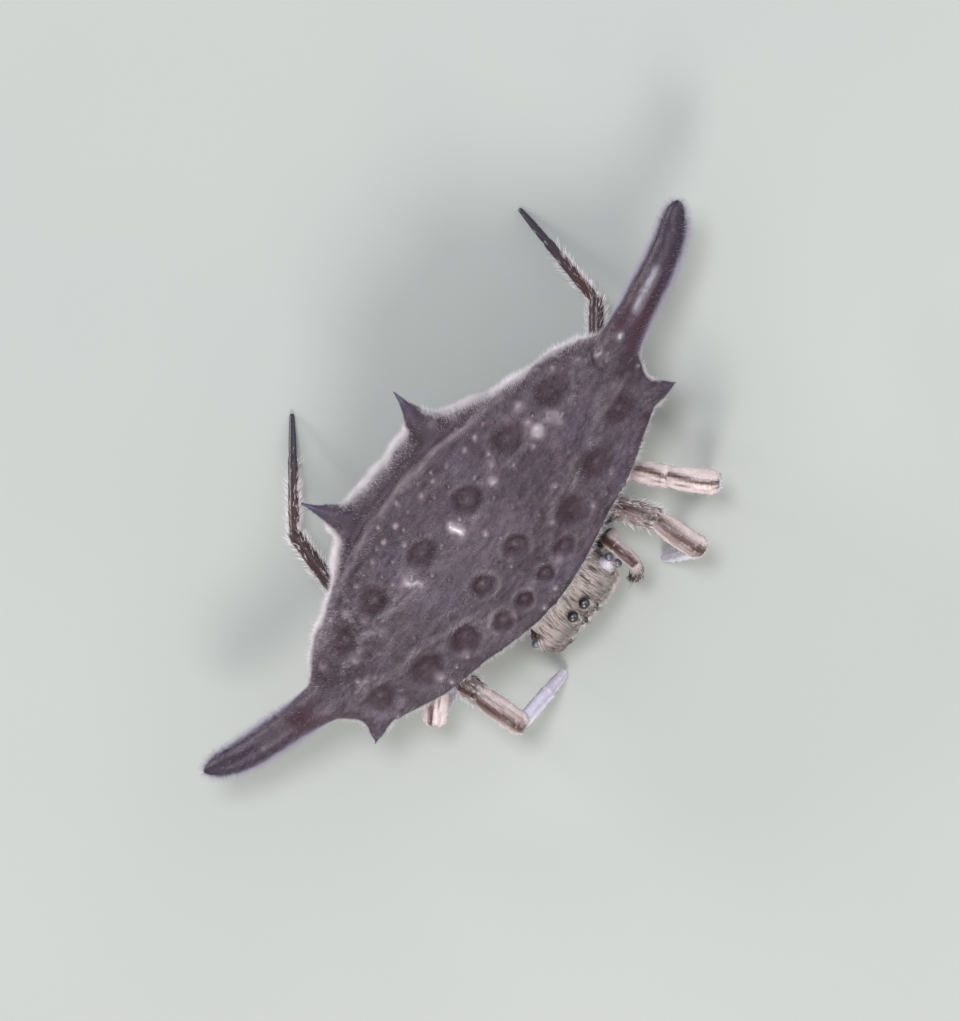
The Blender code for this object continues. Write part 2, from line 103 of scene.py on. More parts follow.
# How much further the stain and the hollow of a large one spread than its cut solid
SIGILLA_SPREAD = 1.18
# Low glossy swellings beside the middle row of sigilla and on the left spine's root: across,
# forward, half width, half length, height
WELTS = ((0.15, 0.14, 0.26, 0.34, 1.0), (-1.70, 0.14, 0.28, 0.34, 1.0),
         (1.75, 0.10, 0.20, 0.22, 0.35), (3.47, 0.25, 0.26, 0.34, 1.0),
         (3.90, 0.26, 0.26, 0.34, 0.8), (-3.55, 0.20, 0.26, 0.34, 0.6),
         (5.86, 0.26, 0.36, 0.30, 1.3), (6.56, 0.26, 0.30, 0.22, 0.5))
WELT_HEIGHT = 0.060
# Glossy beads on both sides of the disc: across, forward
BEADS = ((3.62, 2.34), (2.66, 2.54), (5.42, -0.20), (3.66, -0.60), (2.10, -0.16),
         (3.50, -0.12), (3.98, 0.06), (1.02, 2.78), (4.64, 0.32), (1.84, -2.00), (2.42, -1.70))

# The raised fold along the disc's rear edge, and the one inside the front row of sigilla:
# how far across, and how far forward there
RIDGE_ACROSS = (0.0, 1.3, 2.2, 2.9, 3.5, 4.2, 6.0)
RIDGE_FORWARD = (-1.60, -1.54, -1.34, -1.21, -1.09, -0.98, -0.40)
FOLD_ACROSS = (1.2, 2.3, 3.2, 4.65, 6.0)
FOLD_FORWARD = (1.95, 1.74, 1.50, 1.22, 1.05)

# Head and thorax: forward, half width, top, bottom
CARAPACE_SECTIONS = (
    (0.25, 0.60, -3.28, -3.64), (0.70, 1.20, -3.16, -3.74), (1.40, 1.56, -2.94, -3.78),
    (2.10, 1.62, -2.50, -3.78), (2.75, 1.52, -2.00, -3.70), (3.30, 1.44, -1.76, -3.44),
    (3.78, 1.42, -1.76, -3.10), (4.12, 1.32, -1.94, -2.96), (4.30, 1.04, -2.18, -2.84),
)
CARAPACE_SQUARENESS = 2.6
# Mounds that carry the eyes: across, forward, up, radius
EYE_MOUNDS = ((1.34, 3.80, -2.25, 0.24), (0.24, 4.00, -1.95, 0.20), (0.24, 4.16, -2.22, 0.16))

# Jaws and palps of the left side: across, forward, up, radius
CHELICERA = ((0.45, 3.76, -2.90, 0.31), (0.45, 3.83, -3.12, 0.34), (0.46, 3.88, -3.34, 0.34),
             (0.45, 3.88, -3.58, 0.30), (0.43, 3.85, -3.76, 0.22), (0.42, 3.84, -3.88, 0.10))
FANG = ((0.42, 3.86, -3.66, 0.13), (0.34, 3.78, -3.92, 0.10), (0.22, 3.62, -4.00, 0.03))
PALP_LEFT = (
    (0.98, 3.30, -3.86), (1.42, 3.38, -3.68), (1.75, 3.40, -3.10), (1.78, 3.36, -2.50),
    (1.88, 3.54, -2.10), (1.92, 3.92, -1.98), (1.86, 4.30, -2.14), (1.62, 4.50, -2.48),
    (1.36, 4.52, -2.82),
)
PALP_RIGHT = (
    (0.98, 3.30, -3.86), (1.44, 3.34, -3.66), (1.66, 3.56, -3.20), (1.66, 3.92, -3.10),
    (1.56, 4.14, -3.36), (1.42, 4.20, -3.66), (1.30, 4.16, -3.90),
)
# Where each palp's segments start and end, as a share of its length, and their radii
PALP_SEGMENTS = ((0.0, 0.13, (0.19, 0.19, 0.18)), (0.10, 0.40, (0.16, 0.19, 0.16)),
                 (0.38, 0.56, (0.15, 0.19, 0.16)), (0.54, 0.74, (0.15, 0.20, 0.17)),
                 (0.72, 1.0, (0.16, 0.18, 0.09)))

# Legs. Each one: side, then the hip's place along the thorax and its angle in degrees forward
# of straight out, then across, forward, up of knee, patella's end and ankle, and across and
# forward of the foot on the floor.
LEGS = {
    "L1": (1, (2.80, 22.0), (2.81, 3.14, -2.02), (3.20, 4.01, -1.92), (3.33, 5.36, -1.98),
           (1.95, 4.86)),
    "R1": (-1, (2.80, 0.0), (3.66, 2.54, -2.34), (3.54, 3.38, -2.00), (3.44, 4.73, -1.98),
           (2.24, 4.77)),
    "L2": (1, (2.06, 10.0), (3.66, 2.72, -2.46), (4.20, 3.53, -2.22), (4.90, 4.57, -2.18),
           (4.00, 4.50)),
    "R2": (-1, (2.06, 2.0), (3.52, 1.86, -2.86), (4.23, 2.49, -2.44), (5.02, 2.94, -2.56),
           (4.45, 2.82)),
    "L3": (1, (1.32, -6.0), (3.05, 1.46, -2.96), (3.68, 1.50, -3.06), (4.40, 1.56, -3.60),
           (4.32, 1.28)),
    "R3": (-1, (1.32, -12.0), (2.96, 0.92, -2.98), (3.56, 0.76, -3.06), (4.30, 0.44, -3.60),
           (4.26, 0.16)),
    "L4": (1, (0.60, -36.0), (3.74, 0.60, -2.94), (4.54, 0.70, -3.20), (6.12, -0.78, -3.92),
           (6.28, -3.84)),
    "R4": (-1, (0.60, -36.0), (3.60, 0.06, -2.92), (4.36, -0.52, -3.12), (4.00, -2.98, -3.92),
           (2.05, -5.02)),
}
HIP_UP = -3.34
HIP_REACH = 0.62
HIP_GAP = 0.28
HIP_ROOT = 0.30
TARSUS_START = 0.64

# Each leg segment: radii at its start, middle and end on legs 1 to 3, the same on leg 4, then
# how dusky it is on each pair of legs
LEG_SEGMENTS = (
    ("coxa", (0.28, 0.28, 0.26), (0.28, 0.29, 0.26), (0.5, 0.5, 0.5, 0.5)),
    ("trochanter", (0.25, 0.25, 0.23), (0.25, 0.25, 0.23), (0.5, 0.5, 0.5, 0.5)),
    ("thigh", (0.24, 0.32, 0.25), (0.22, 0.30, 0.22), (0.45, 0.15, 0.3, 0.5)),
    ("patella", (0.25, 0.31, 0.27), (0.20, 0.23, 0.20), (0.50, 0.1, 0.3, 0.6)),
    ("shin", (0.26, 0.33, 0.29), (0.17, 0.20, 0.18), (0.0, 0.0, 0.3, 0.8)),
    ("metatarsus", (0.19, 0.20, 0.18), (0.14, 0.14, 0.12), (0.0, 0.0, 0.4, 0.85)),
    ("tarsus", (0.165, 0.165, 0.12), (0.11, 0.10, 0.06), (0.1, 0.1, 0.6, 1.0)),
)
# Dark stripes along the legs: degrees from the top of the leg, half width, strength
STRIPES = ((-12.0, 16.0, 1.0), (27.0, 6.0, 0.7), (120.0, 15.0, 0.7), (-125.0, 15.0, 0.7))
# How far a segment's round end reaches past its joint, in radii
CAP_REACH = 0.6
# Feet and hair stay this far above the floor
FLOOR_GAP = 0.01


# Places, directions and curves
def to_world(points):
    """Body millimetres to frame millimetres."""
    across, forward, up = np.moveaxis(np.asarray(points, float), -1, 0)
    y = -forward * math.cos(DISC_PITCH) - up * math.sin(DISC_PITCH) + SHIFT_BACK
    z = -forward * math.sin(DISC_PITCH) + up * math.cos(DISC_PITCH) + DISC_HEIGHT
    return np.stack([across, y, z], -1)


def to_body(points):
    """Frame millimetres to body millimetres."""
    x, y, z = np.moveaxis(np.asarray(points, float), -1, 0)
    back, height = y - SHIFT_BACK, z - DISC_HEIGHT
    forward = -back * math.cos(DISC_PITCH) - height * math.sin(DISC_PITCH)
    up = -back * math.sin(DISC_PITCH) + height * math.cos(DISC_PITCH)
    return np.stack([x, forward, up], -1)


def turn_to_world(vectors):
    """Body directions to frame directions."""
    return to_world(vectors) - to_world((0.0, 0.0, 0.0))


def unit(vectors):
    vectors = np.asarray(vectors, float)
    return vectors / np.maximum(np.linalg.norm(vectors, axis=-1, keepdims=True), 1e-9)


def curve_through(values, positions, closed=False):
    """Catmull-Rom curve through rows of values, at positions counted in rows."""
    values = np.asarray(values, float)
    positions = np.asarray(positions, float)
    count = len(values)
    start = np.floor(positions).astype(int)
    if not closed:
        start = np.clip(start, 0, count - 2)
    t = (positions - start)[:, None]

    def pick(index):
        return values[index % count] if closed else values[np.clip(index, 0, count - 1)]

    p, q, r, s = (pick(start + step) for step in (-1, 0, 1, 2))
    return 0.5 * (2 * q + (r - p) * t + (2 * p - 5 * q + 4 * r - s) * t ** 2
                  + (3 * q - p - 3 * r + s) * t ** 3)


def abdomen_outline(across, steps):
    """Closed outlines of the abdomen, one for each distance across, as (forward, up)."""
    stations = np.array([row[0] for row in ABDOMEN_SECTIONS])
    rows = np.array([np.ravel(row[1:]) for row in ABDOMEN_SECTIONS])
    rows = np.vstack([rows[1], rows])
    position = np.interp(np.abs(across), stations, np.arange(len(stations))) + 1
    flat = curve_through(rows, position).reshape(len(across), -1, 2)
    corners = flat.shape[1]
    positions = np.arange(corners * steps) / steps
    return np.stack([curve_through(outline, positions, closed=True) for outline in flat])


def disc_height(across, forward):
    """How high the back is at a place, from its outline as far as just behind the rear ridge."""
    steps = 12
    past_ridge = 4 * steps + 9
    outline = abdomen_outline(np.array([across]), steps)[0][:past_ridge]
    return float(np.interp(-forward, -outline[:, 0], outline[:, 1]))


# Surfaces, before they are meshes. The masks that all parts of the body share say how pale a
# place is, how dusky and how cool in colour.
SHARED_MASKS = ("pale", "dusk", "cool")


class Surface:
    """A closed mesh with what its coat needs: a UV place, the lie of the hair, and masks."""

    def __init__(self, points, faces, uv, lie, masks=None):
        self.points = np.asarray(points, float)
        self.faces = faces
        self.uv = np.asarray(uv, float)
        self.lie = np.asarray(lie, float)
        self.masks = masks or {}

    def fill_masks(self, **values):
        """Set masks, each one number or one for each point, and the rest of the shared ones."""
        for name in SHARED_MASKS:
            value = values.get(name, self.masks.get(name, 0.0))
            self.masks[name] = np.broadcast_to(np.asarray(value, float), len(self.points)).copy()
        return self


def joined(surfaces):
    """Several surfaces as one, with the masks that all of them share."""
    offset = 0
    faces = []
    for surface in surfaces:
        faces += [tuple(index + offset for index in face) for face in surface.faces]
        offset += len(surface.points)
    masks = {name: np.concatenate([surface.masks[name] for surface in surfaces])
             for name in SHARED_MASKS}
    return Surface(np.vstack([surface.points for surface in surfaces]), faces,
                   np.vstack([surface.uv for surface in surfaces]),
                   np.vstack([surface.lie for surface in surfaces]), masks)


def ring_faces(rings, sides):
    """Quads between rings, and a fan to a pole point at each end."""
    faces = []
    for ring in range(rings - 1):
        for side in range(sides):
            after = (side + 1) % sides
            faces.append((ring * sides + side, ring * sides + after,
                          (ring + 1) * sides + after, (ring + 1) * sides + side))
    first_pole = rings * sides
    last = (rings - 1) * sides
    for side in range(sides):
        after = (side + 1) % sides
        faces.append((first_pole, after, side))
        faces.append((first_pole + 1, last + side, last + after))
    return faces


def sweep(path, radii, sides, reference, uv_box=(0.0, 0.0, 1.0, 1.0)):
    """A round closed surface along a path, with its own strip of the UV square."""
    path = np.asarray(path, float)
    radii = np.asarray(radii, float)
    tangent = unit(np.gradient(path, axis=0))
    reference = np.asarray(reference, float)
    first = unit(reference - tangent * (tangent @ reference)[:, None])
    second = np.cross(tangent, first)
    angle = np.arange(sides) / sides * 2 * math.pi
    outward = (first[:, None] * np.cos(angle)[None, :, None]
               + second[:, None] * np.sin(angle)[None, :, None])
    points = path[:, None] + outward * radii[:, None, None]
    count = len(path)
    left, low, right, high = uv_box
    u = left + (right - left) * (np.arange(sides) + 0.5) / sides
    v = low + (high - low) * np.linspace(0.02, 0.98, count)
    uv = np.stack(np.broadcast_arrays(u[None, :], v[:, None]), -1)
    points = np.vstack([points.reshape(-1, 3), path[0], path[-1]])
    uv = np.vstack([uv.reshape(-1, 2), uv[0, 0], uv[-1, 0]])
    lie = np.vstack([np.repeat(tangent, sides, axis=0), tangent[0], tangent[-1]])
    degrees = np.degrees(np.append(np.tile(angle, count), [0.0, 0.0]))
    degrees = (degrees + 180.0) % 360.0 - 180.0
    along = np.concatenate([np.repeat(np.linspace(0, 1, count), sides), [0.0, 1.0]])
    return Surface(points, ring_faces(count, sides), uv, lie, {"turn": degrees, "along": along})


# Meshes, pieces and masks
def new_mesh(name, points, faces, smooth=True):
    mesh = bpy.data.meshes.new(name)
    mesh.from_pydata(np.asarray(points) * MM, [], faces)
    mesh.update()
    if smooth:
        mesh.shade_smooth()
    return mesh


def add_object(name, data):
    thing = bpy.data.objects.new(name, data)
    bpy.context.scene.collection.objects.link(thing)
    return thing


def new_piece(name, mesh, material, replaced=()):
    """A piece of the spider that rides on its one body."""
    piece = add_object(name, mesh)
    mesh.materials.append(material)
    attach(piece, "root")
    if replaced:
        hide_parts(*replaced)


def add_attributes(mesh, masks):
    """A number for each point under each name."""
    for name, values in masks.items():
        attribute = mesh.attributes.new(name, "FLOAT", "POINT")
        attribute.data.foreach_set("value", np.asarray(values, np.float32))


def skin_piece(name, points, faces, material, replaced, masks):
    """A smooth piece in place of some nodes, with the masks that its look needs."""
    mesh = new_mesh(name, points, faces)
    add_attributes(mesh, masks)
    new_piece(name, mesh, material, replaced)
    return mesh


def add_uv(mesh, name, uv):
    """A UV map from one place for each point."""
    corners = np.zeros(len(mesh.loops), np.int32)
    mesh.loops.foreach_get("vertex_index", corners)
    layer = mesh.uv_layers.new(name=name)
    layer.uv.foreach_set("vector", np.asarray(uv, np.float32)[corners].ravel())


def points_of(mesh, kind="co"):
    """Each point's place, or its normal, as rows."""
    values = np.zeros(len(mesh.vertices) * 3, np.float32)
    mesh.vertices.foreach_get(kind, values)
    return values.reshape(-1, 3).astype(float)


def normals_of(mesh):
    return points_of(mesh, "normal")


def fractal(points, size, octaves=3):
    """Smooth noise between about -1 and 1, with features of a size in millimetres."""
    return np.array([noise.fractal(Vector(point) / size, 1.0, 2.0, octaves,
                                   noise_basis="PERLIN_ORIGINAL") for point in points])


def rise(values, low, high):
    """0 up to the low value and 1 from the high value on, eased between them."""
    t = np.clip((values - low) / (high - low), 0.0, 1.0)
    return t * t * (3 - 2 * t)


def fall(values, low, high):
    return 1 - rise(values, low, high)


def bell(values, centre, width):
    """1 where a value is at the centre, and near 0 from two widths away."""
    return np.exp(-((values - centre) / width) ** 2)


def around(points, place, full, none):
    """1 within one distance of a place, easing to 0 at another distance."""
    return fall(np.linalg.norm(points - np.asarray(place), axis=1), full, none)


def remeshed(points, faces, voxel, smoothing):
    """One closed skin from overlapping closed shapes, in millimetres."""
    mesh = bpy.data.meshes.new("shape")
    mesh.from_pydata(np.asarray(points), [], faces)
    shape = add_object("shape", mesh)
    remesh = shape.modifiers.new("skin", "REMESH")
    remesh.mode = "VOXEL"
    remesh.voxel_size = voxel
    smooth = shape.modifiers.new("smooth", "SMOOTH")
    smooth.factor = 0.5
    smooth.iterations = smoothing
    bpy.context.view_layer.update()
    evaluated = shape.evaluated_get(bpy.context.evaluated_depsgraph_get())
    skin = bpy.data.meshes.new_from_object(evaluated)
    bpy.data.objects.remove(shape, do_unlink=True)
    bpy.data.meshes.remove(mesh)
    return skin


def relax(mesh, weight, rounds):
    """Smooth a mesh where a weight from 0 to 1 says so."""
    points = points_of(mesh)
    edges = np.zeros(len(mesh.edges) * 2, np.int32)
    mesh.edges.foreach_get("vertices", edges)
    edges = edges.reshape(-1, 2)
    ends = np.concatenate([edges[:, 0], edges[:, 1]])
    others = np.concatenate([edges[:, 1], edges[:, 0]])
    moving = weight[ends] > 0
    ends, others = ends[moving], others[moving]
    degree = np.maximum(np.bincount(ends, minlength=len(points)), 1)[:, None]
    for _ in range(rounds):
        total = np.stack([np.bincount(ends, points[others, axis], len(points))
                          for axis in range(3)], 1)
        points += (total / degree - points) * weight[:, None] * 0.5
    mesh.vertices.foreach_set("co", points.astype(np.float32).ravel())
    mesh.update()


def spread_places(places, apart, wanted):
    """Up to a wanted number of random places that keep apart."""
    grid = {}
    chosen = []
    for index in RANDOM.permutation(len(places)):
        cell = tuple((places[index] / apart).astype(int))
        near = [grid[key] for dx in (-1, 0, 1) for dy in (-1, 0, 1) for dz in (-1, 0, 1)
                if (key := (cell[0] + dx, cell[1] + dy, cell[2] + dz)) in grid]
        if all(np.linalg.norm(places[other] - places[index]) > apart for other in near):
            grid[cell] = index
            chosen.append(index)
        if len(chosen) == wanted:
            break
    return np.array(chosen)


def tree_of(points):
    tree = KDTree(len(points))
    for index, point in enumerate(points):
        tree.insert(point, index)
    tree.balance()
    return tree


def bumps_at(points, centres, radii):
    """Round bumps from 0 to 1 on the points near each centre."""
    tree = tree_of(points)
    height = np.zeros(len(points))
    for centre, radius in zip(centres, radii):
        for _, index, distance in tree.find_range(centre, radius * 2):
            height[index] = max(height[index], math.exp(-(distance / radius) ** 2 * 1.6))
    return height


# Looks
def node_material(name):
    material = bpy.data.materials.new(name)
    material.use_nodes = True
    tree = material.node_tree
    shader = tree.nodes["Principled BSDF"]
    return material, tree, shader


def feed(tree, node, inputs):
    """Give a node its inputs, each a value or another node's socket."""
    for name, value in inputs.items():
        if isinstance(value, bpy.types.NodeSocket):
            tree.links.new(value, node.inputs[name])
        else:
            node.inputs[name].default_value = value


def add_node(tree, kind, inputs, **settings):
    node = tree.nodes.new(kind)
    for name, value in settings.items():
        setattr(node, name, value)
    feed(tree, node, inputs)
    return node


def mixed(tree, factor, first, second, blend="MIX"):
    """The colour between two colours, each a tuple or a socket."""
    first, second = ((*colour, 1.0) if isinstance(colour, tuple) else colour
                     for colour in (first, second))
    inputs = {0: factor, 6: first, 7: second}
    return add_node(tree, "ShaderNodeMix", inputs, data_type="RGBA", blend_type=blend).outputs[2]


def mask_of(tree, name):
    return add_node(tree, "ShaderNodeAttribute", {}, attribute_name=name).outputs["Fac"]


def noise_of(tree, size, detail=3.0, rough=0.55, squeeze=None):
    """Noise with features of a size in millimetres, longer where an axis is squeezed."""
    place = add_node(tree, "ShaderNodeTexCoord", {}).outputs["Object"]
    if squeeze:
        place = add_node(tree, "ShaderNodeVectorMath", {0: place, 1: squeeze},
                         operation="MULTIPLY").outputs[0]
    inputs = {"Vector": place, "Scale": 1.0 / (size * MM), "Detail": detail, "Roughness": rough}
    return add_node(tree, "ShaderNodeTexNoise", inputs).outputs["Fac"]


def ranged(tree, value, low, high, out_low=0.0, out_high=1.0):
    inputs = {"Value": value, "From Min": low, "From Max": high,
              "To Min": out_low, "To Max": out_high}
    return add_node(tree, "ShaderNodeMapRange", inputs).outputs["Result"]


def combined(tree, operation, first, second):
    inputs = {0: first, 1: second}
    return add_node(tree, "ShaderNodeMath", inputs, operation=operation).outputs[0]


def relief(tree, height, strength, depth):
    """Fine relief of a depth in millimetres."""
    inputs = {"Strength": strength, "Distance": depth * MM, "Height": height}
    return add_node(tree, "ShaderNodeBump", inputs).outputs["Normal"]


# Colours, as linear red, green and blue
SHELL_DARK = (0.020, 0.010, 0.014)
SHELL_LIGHT = (0.070, 0.047, 0.058)
SHELL_BLUE = (0.040, 0.036, 0.056)
DISH_COLOUR = (0.056, 0.034, 0.038)
# Pale of the ridge, folds and sigilla rims, and painted highlight on the welts and beads
PALE_MARK_AND_HIGHLIGHT = (0.26, 0.20, 0.22)
# Painted rim light: pale skin along the abdomen's outline
PAINTED_RIM_LIGHT = (0.36, 0.28, 0.29)
SPINE_RED = (0.030, 0.007, 0.011)
SPINE_BLUE = (0.016, 0.010, 0.018)
THORN_BLUE = (0.040, 0.030, 0.070)
LEG_PALE = (0.74, 0.61, 0.59)
LEG_COOL = (0.70, 0.66, 0.79)
LEG_RUST = (0.052, 0.017, 0.014)
LEG_DARK = (0.045, 0.015, 0.015)
LEG_BLACK = (0.022, 0.017, 0.026)
HEAD_BROWN = (0.12, 0.070, 0.055)
HAIR_WHITE = (0.95, 0.89, 0.91)
HAIR_CREAM = (0.93, 0.79, 0.69)
HAIR_GREY = (0.27, 0.215, 0.245)
HAIR_LILAC = (0.50, 0.45, 0.60)
HAIR_DARK = (0.035, 0.016, 0.014)
HAIR_RUST = (0.028, 0.011, 0.010)
VELVET_ROOT = (0.09, 0.07, 0.08)
LILAC_ROOT = (0.14, 0.11, 0.17)
CREAM_ROOT = (0.60, 0.49, 0.44)
LEG_HAIR_ROOT = (0.52, 0.40, 0.36)
EYE_BLACK, EYE_BROWN = (0.004, 0.003, 0.003), (0.012, 0.007, 0.006)
PEARL_DARK, PEARL_LIGHT = (0.05, 0.05, 0.065), (0.11, 0.11, 0.14)
HORN_DARK, HORN_LIGHT = (0.030, 0.012, 0.010), (0.080, 0.030, 0.022)
SPINNERET_DARK, SPINNERET_LIGHT = (0.05, 0.028, 0.026), (0.12, 0.07, 0.06)
FLOOR_DARK, FLOOR_LIGHT = (0.36, 0.37, 0.35), (0.39, 0.40, 0.37)


def shell_material():
    """The abdomen: brown-purple shell, dark dishes, spines red at the root, pale rims as painted rim
    light, painted shade behind the ridge and painted highlights on welts and beads.
    """
    material, tree, shader = node_material("abdomen_shell_skin")
    blotch = ranged(tree, noise_of(tree, 1.3), 0.34, 0.68)
    fine = ranged(tree, noise_of(tree, 0.10, 2.0), 0.3, 0.7)
    colour = mixed(tree, blotch, SHELL_DARK, SHELL_LIGHT)
    colour = mixed(tree, ranged(tree, noise_of(tree, 2.4), 0.50, 0.72, 0.0, 0.6), colour, SHELL_BLUE)
    colour = mixed(tree, combined(tree, "MULTIPLY", fine, 0.45), colour, SHELL_DARK)
    streaks = noise_of(tree, 0.13, 4.0, 0.65, squeeze=(0.35, 1.0, 1.0))
    colour = mixed(tree, 1.0, colour, ranged(tree, streaks, 0.36, 0.64, 0.45, 1.75), "MULTIPLY")
    spine = mask_of(tree, "spine")
    tint = mixed(tree, ranged(tree, spine, 0.45, 1.10), SPINE_RED, SPINE_BLUE)
    colour = mixed(tree, ranged(tree, spine, 0.0, 0.25), colour, tint)
    colour = mixed(tree, mask_of(tree, "tip"), colour, THORN_BLUE)
    stain = mixed(tree, fine, DISH_COLOUR, SHELL_DARK)
    colour = mixed(tree, mask_of(tree, "dish"), colour, stain)
    # Pale ridge, folds and sigilla rims, with painted highlights on the welts and beads
    colour = mixed(tree, mask_of(tree, "fold"), colour, PALE_MARK_AND_HIGHLIGHT)
    # Painted rim light: pale skin along the outline
    colour = mixed(tree, mask_of(tree, "rim"), colour, PAINTED_RIM_LIGHT)
    # Painted shade on the rear face behind the ridge
    colour = mixed(tree, mask_of(tree, "behind"), colour, SHELL_DARK)
    gloss = mask_of(tree, "gloss")
    smoother = combined(tree, "MAXIMUM", gloss, ranged(tree, spine, 0.02, 0.3, 0.0, 0.45))
    shine = ranged(tree, mask_of(tree, "dish"), 0.2, 0.8, 0.5, 0.2)
    shine = combined(tree, "MAXIMUM", shine, ranged(tree, spine, 0.02, 0.3, 0.0, 0.55))
    height = combined(tree, "ADD", noise_of(tree, 0.08, 4.0), noise_of(tree, 0.03, 2.0))
    feed(tree, shader, {
        "Base Color": colour,
        "Roughness": ranged(tree, smoother, 0.0, 1.0, 0.50, 0.30),
        "Specular IOR Level": shine,
        "Specular Tint": (0.93, 0.87, 1.0, 1.0),
        "Coat Weight": ranged(tree, gloss, 0.4, 1.0),
        "Coat Roughness": 0.40,
        "Coat IOR": 2.0,
        "Normal": relief(tree, height, 0.5, 0.02),
    })
    return material


def body_material():
    """Head, thorax, legs and palps: dark shell with pale and cool bands."""
    material, tree, shader = node_material("body_skin")
    patch = ranged(tree, noise_of(tree, 0.30), 0.3, 0.7)
    pale = mixed(tree, mask_of(tree, "cool"), LEG_PALE, LEG_COOL)
    colour = mixed(tree, mask_of(tree, "pale"), LEG_RUST, pale)
    colour = mixed(tree, combined(tree, "MULTIPLY", patch, 0.30), colour, HEAD_BROWN)
    dusk = mask_of(tree, "dusk")
    colour = mixed(tree, ranged(tree, dusk, 0.05, 0.7), colour, LEG_DARK)
    colour = mixed(tree, ranged(tree, dusk, 0.75, 1.0), colour, LEG_BLACK)
    feed(tree, shader, {"Base Color": colour, "Roughness": 0.30,
                        "Normal": relief(tree, noise_of(tree, 0.06, 3.0), 0.5, 0.02)})
    return material


def horn_material(name, dark, light, rough):
    material, tree, shader = node_material(name)
    colour = mixed(tree, ranged(tree, noise_of(tree, 0.4), 0.3, 0.7), dark, light)
    feed(tree, shader, {"Base Color": colour, "Roughness": rough,
                        "Normal": relief(tree, noise_of(tree, 0.05, 2.0), 0.3, 0.01)})
    return material


def eye_material(name, dark, light):
    material, tree, shader = node_material(name)
    colour = mixed(tree, ranged(tree, noise_of(tree, 0.12), 0.3, 0.7), dark, light)
    feed(tree, shader, {"Base Color": colour, "Roughness": 0.30, "Specular IOR Level": 1.0})
    return material


def hair_material(name, root, tip, dark, white):
    """Hair that pales from root to tip, with darker and whiter hairs where masks say so."""
    material, tree, shader = node_material(name)
    colour = mixed(tree, mask_of(tree, "hair_along"), root, tip)
    colour = mixed(tree, combined(tree, "MULTIPLY", mask_of(tree, "hair_tone"), 0.55), colour, root)
    colour = mixed(tree, mask_of(tree, "hair_white"), colour, white)
    colour = mixed(tree, mask_of(tree, "hair_dark"), colour, dark)
    feed(tree, shader, {"Base Color": colour, "Roughness": 0.5, "Specular IOR Level": 0.28})
    return material


# Hair
def triangles_of(faces):
    result = []
    for face in faces:
        for index in range(1, len(face) - 1):
            result.append((face[0], face[index], face[index + 1]))
    return np.array(result)


def scatter(surface, normals, count, weight):
    """Random places on a surface, where a weight at each point says how many."""
    corners = triangles_of(surface.faces)
    a, b, c = (surface.points[corners[:, index]] for index in range(3))
    area = np.linalg.norm(np.cross(b - a, c - a), axis=1) / 2 * weight[corners].mean(axis=1)
    picked = RANDOM.choice(len(corners), count, p=area / area.sum())
    first = RANDOM.random(count)
    second = RANDOM.random(count)
    over = first + second > 1
    first[over] = 1 - first[over]
    second[over] = 1 - second[over]
    shares = np.stack([1 - first - second, first, second], 1)
    chosen = corners[picked]

    def at(values):
        return np.einsum("nk,nk...->n...", shares, values[chosen])

    masks = {name: at(values) for name, values in surface.masks.items()}
    return (at(surface.points), unit(at(normals)), surface.uv[chosen[:, 0]],
            unit(at(surface.lie)), masks)


# How far a hair's UV patch spreads across and along it, and how much it thins by its tip
HAIR_PATCH = (0.0012, 0.003)
HAIR_TAPER = 0.35


def hair_mesh(name, roots, directions, normals, lengths, widths, uv, droop, fine, tones):
    """Closed three-sided hairs as one mesh. Fine hairs are straight spikes, the rest bend."""
    count = len(roots)
    side = unit(np.cross(directions, normals))
    top = np.cross(side, directions)
    levels = [0.0] if fine else [0.0, 0.5]
    rows = []
    fractions = []
    patch = []
    for level in levels:
        centre = roots + directions * (lengths * level)[:, None]
        centre -= normals * (droop * lengths * level ** 2)[:, None]
        radius = widths * (1 - HAIR_TAPER * level) / 2
        for corner in range(3):
            angle = corner * 2 * math.pi / 3
            shift = side * math.cos(angle) + top * math.sin(angle)
            rows.append(centre + shift * radius[:, None])
            fractions.append(np.full(count, level))
            patch.append((corner * HAIR_PATCH[0], level * HAIR_PATCH[1]))
    rows.append(roots + directions * lengths[:, None] - normals * (droop * lengths)[:, None])
    fractions.append(np.ones(count))
    patch.append(HAIR_PATCH)
    per = len(rows)
    points = np.stack(rows, 1).reshape(-1, 3)
    points[:, 2] = np.maximum(points[:, 2], FLOOR_GAP)
    pattern = [(0, 2, 1)]
    for ring in range(len(levels) - 1):
        for corner in range(3):
            after = (corner + 1) % 3
            low, high = ring * 3, ring * 3 + 3
            pattern.append((low + corner, low + after, high + after))
            pattern.append((low + corner, high + after, high + corner))
    last = (len(levels) - 1) * 3
    for corner in range(3):
        pattern.append((last + corner, last + (corner + 1) % 3, per - 1))
    faces = (np.arange(count)[:, None, None] * per + np.array(pattern)[None]).reshape(-1, 3)
    mesh = bpy.data.meshes.new(name)
    mesh.vertices.add(len(points))
    mesh.vertices.foreach_set("co", (points * MM).astype(np.float32).ravel())
    mesh.loops.add(len(faces) * 3)
    mesh.loops.foreach_set("vertex_index", faces.astype(np.int32).ravel())
    mesh.polygons.add(len(faces))
    mesh.polygons.foreach_set("loop_start", np.arange(len(faces), dtype=np.int32) * 3)
    mesh.update()
    mesh.validate()
    mesh.shade_smooth()
    add_attributes(mesh, {"hair_along": np.stack(fractions, 1).ravel()})
    add_attributes(mesh, {label: np.repeat(values, per) for label, values in tones.items()})
    add_uv(mesh, "OFBake", (uv[:, None, :] + np.array(patch)[None]).reshape(-1, 2))
    return mesh


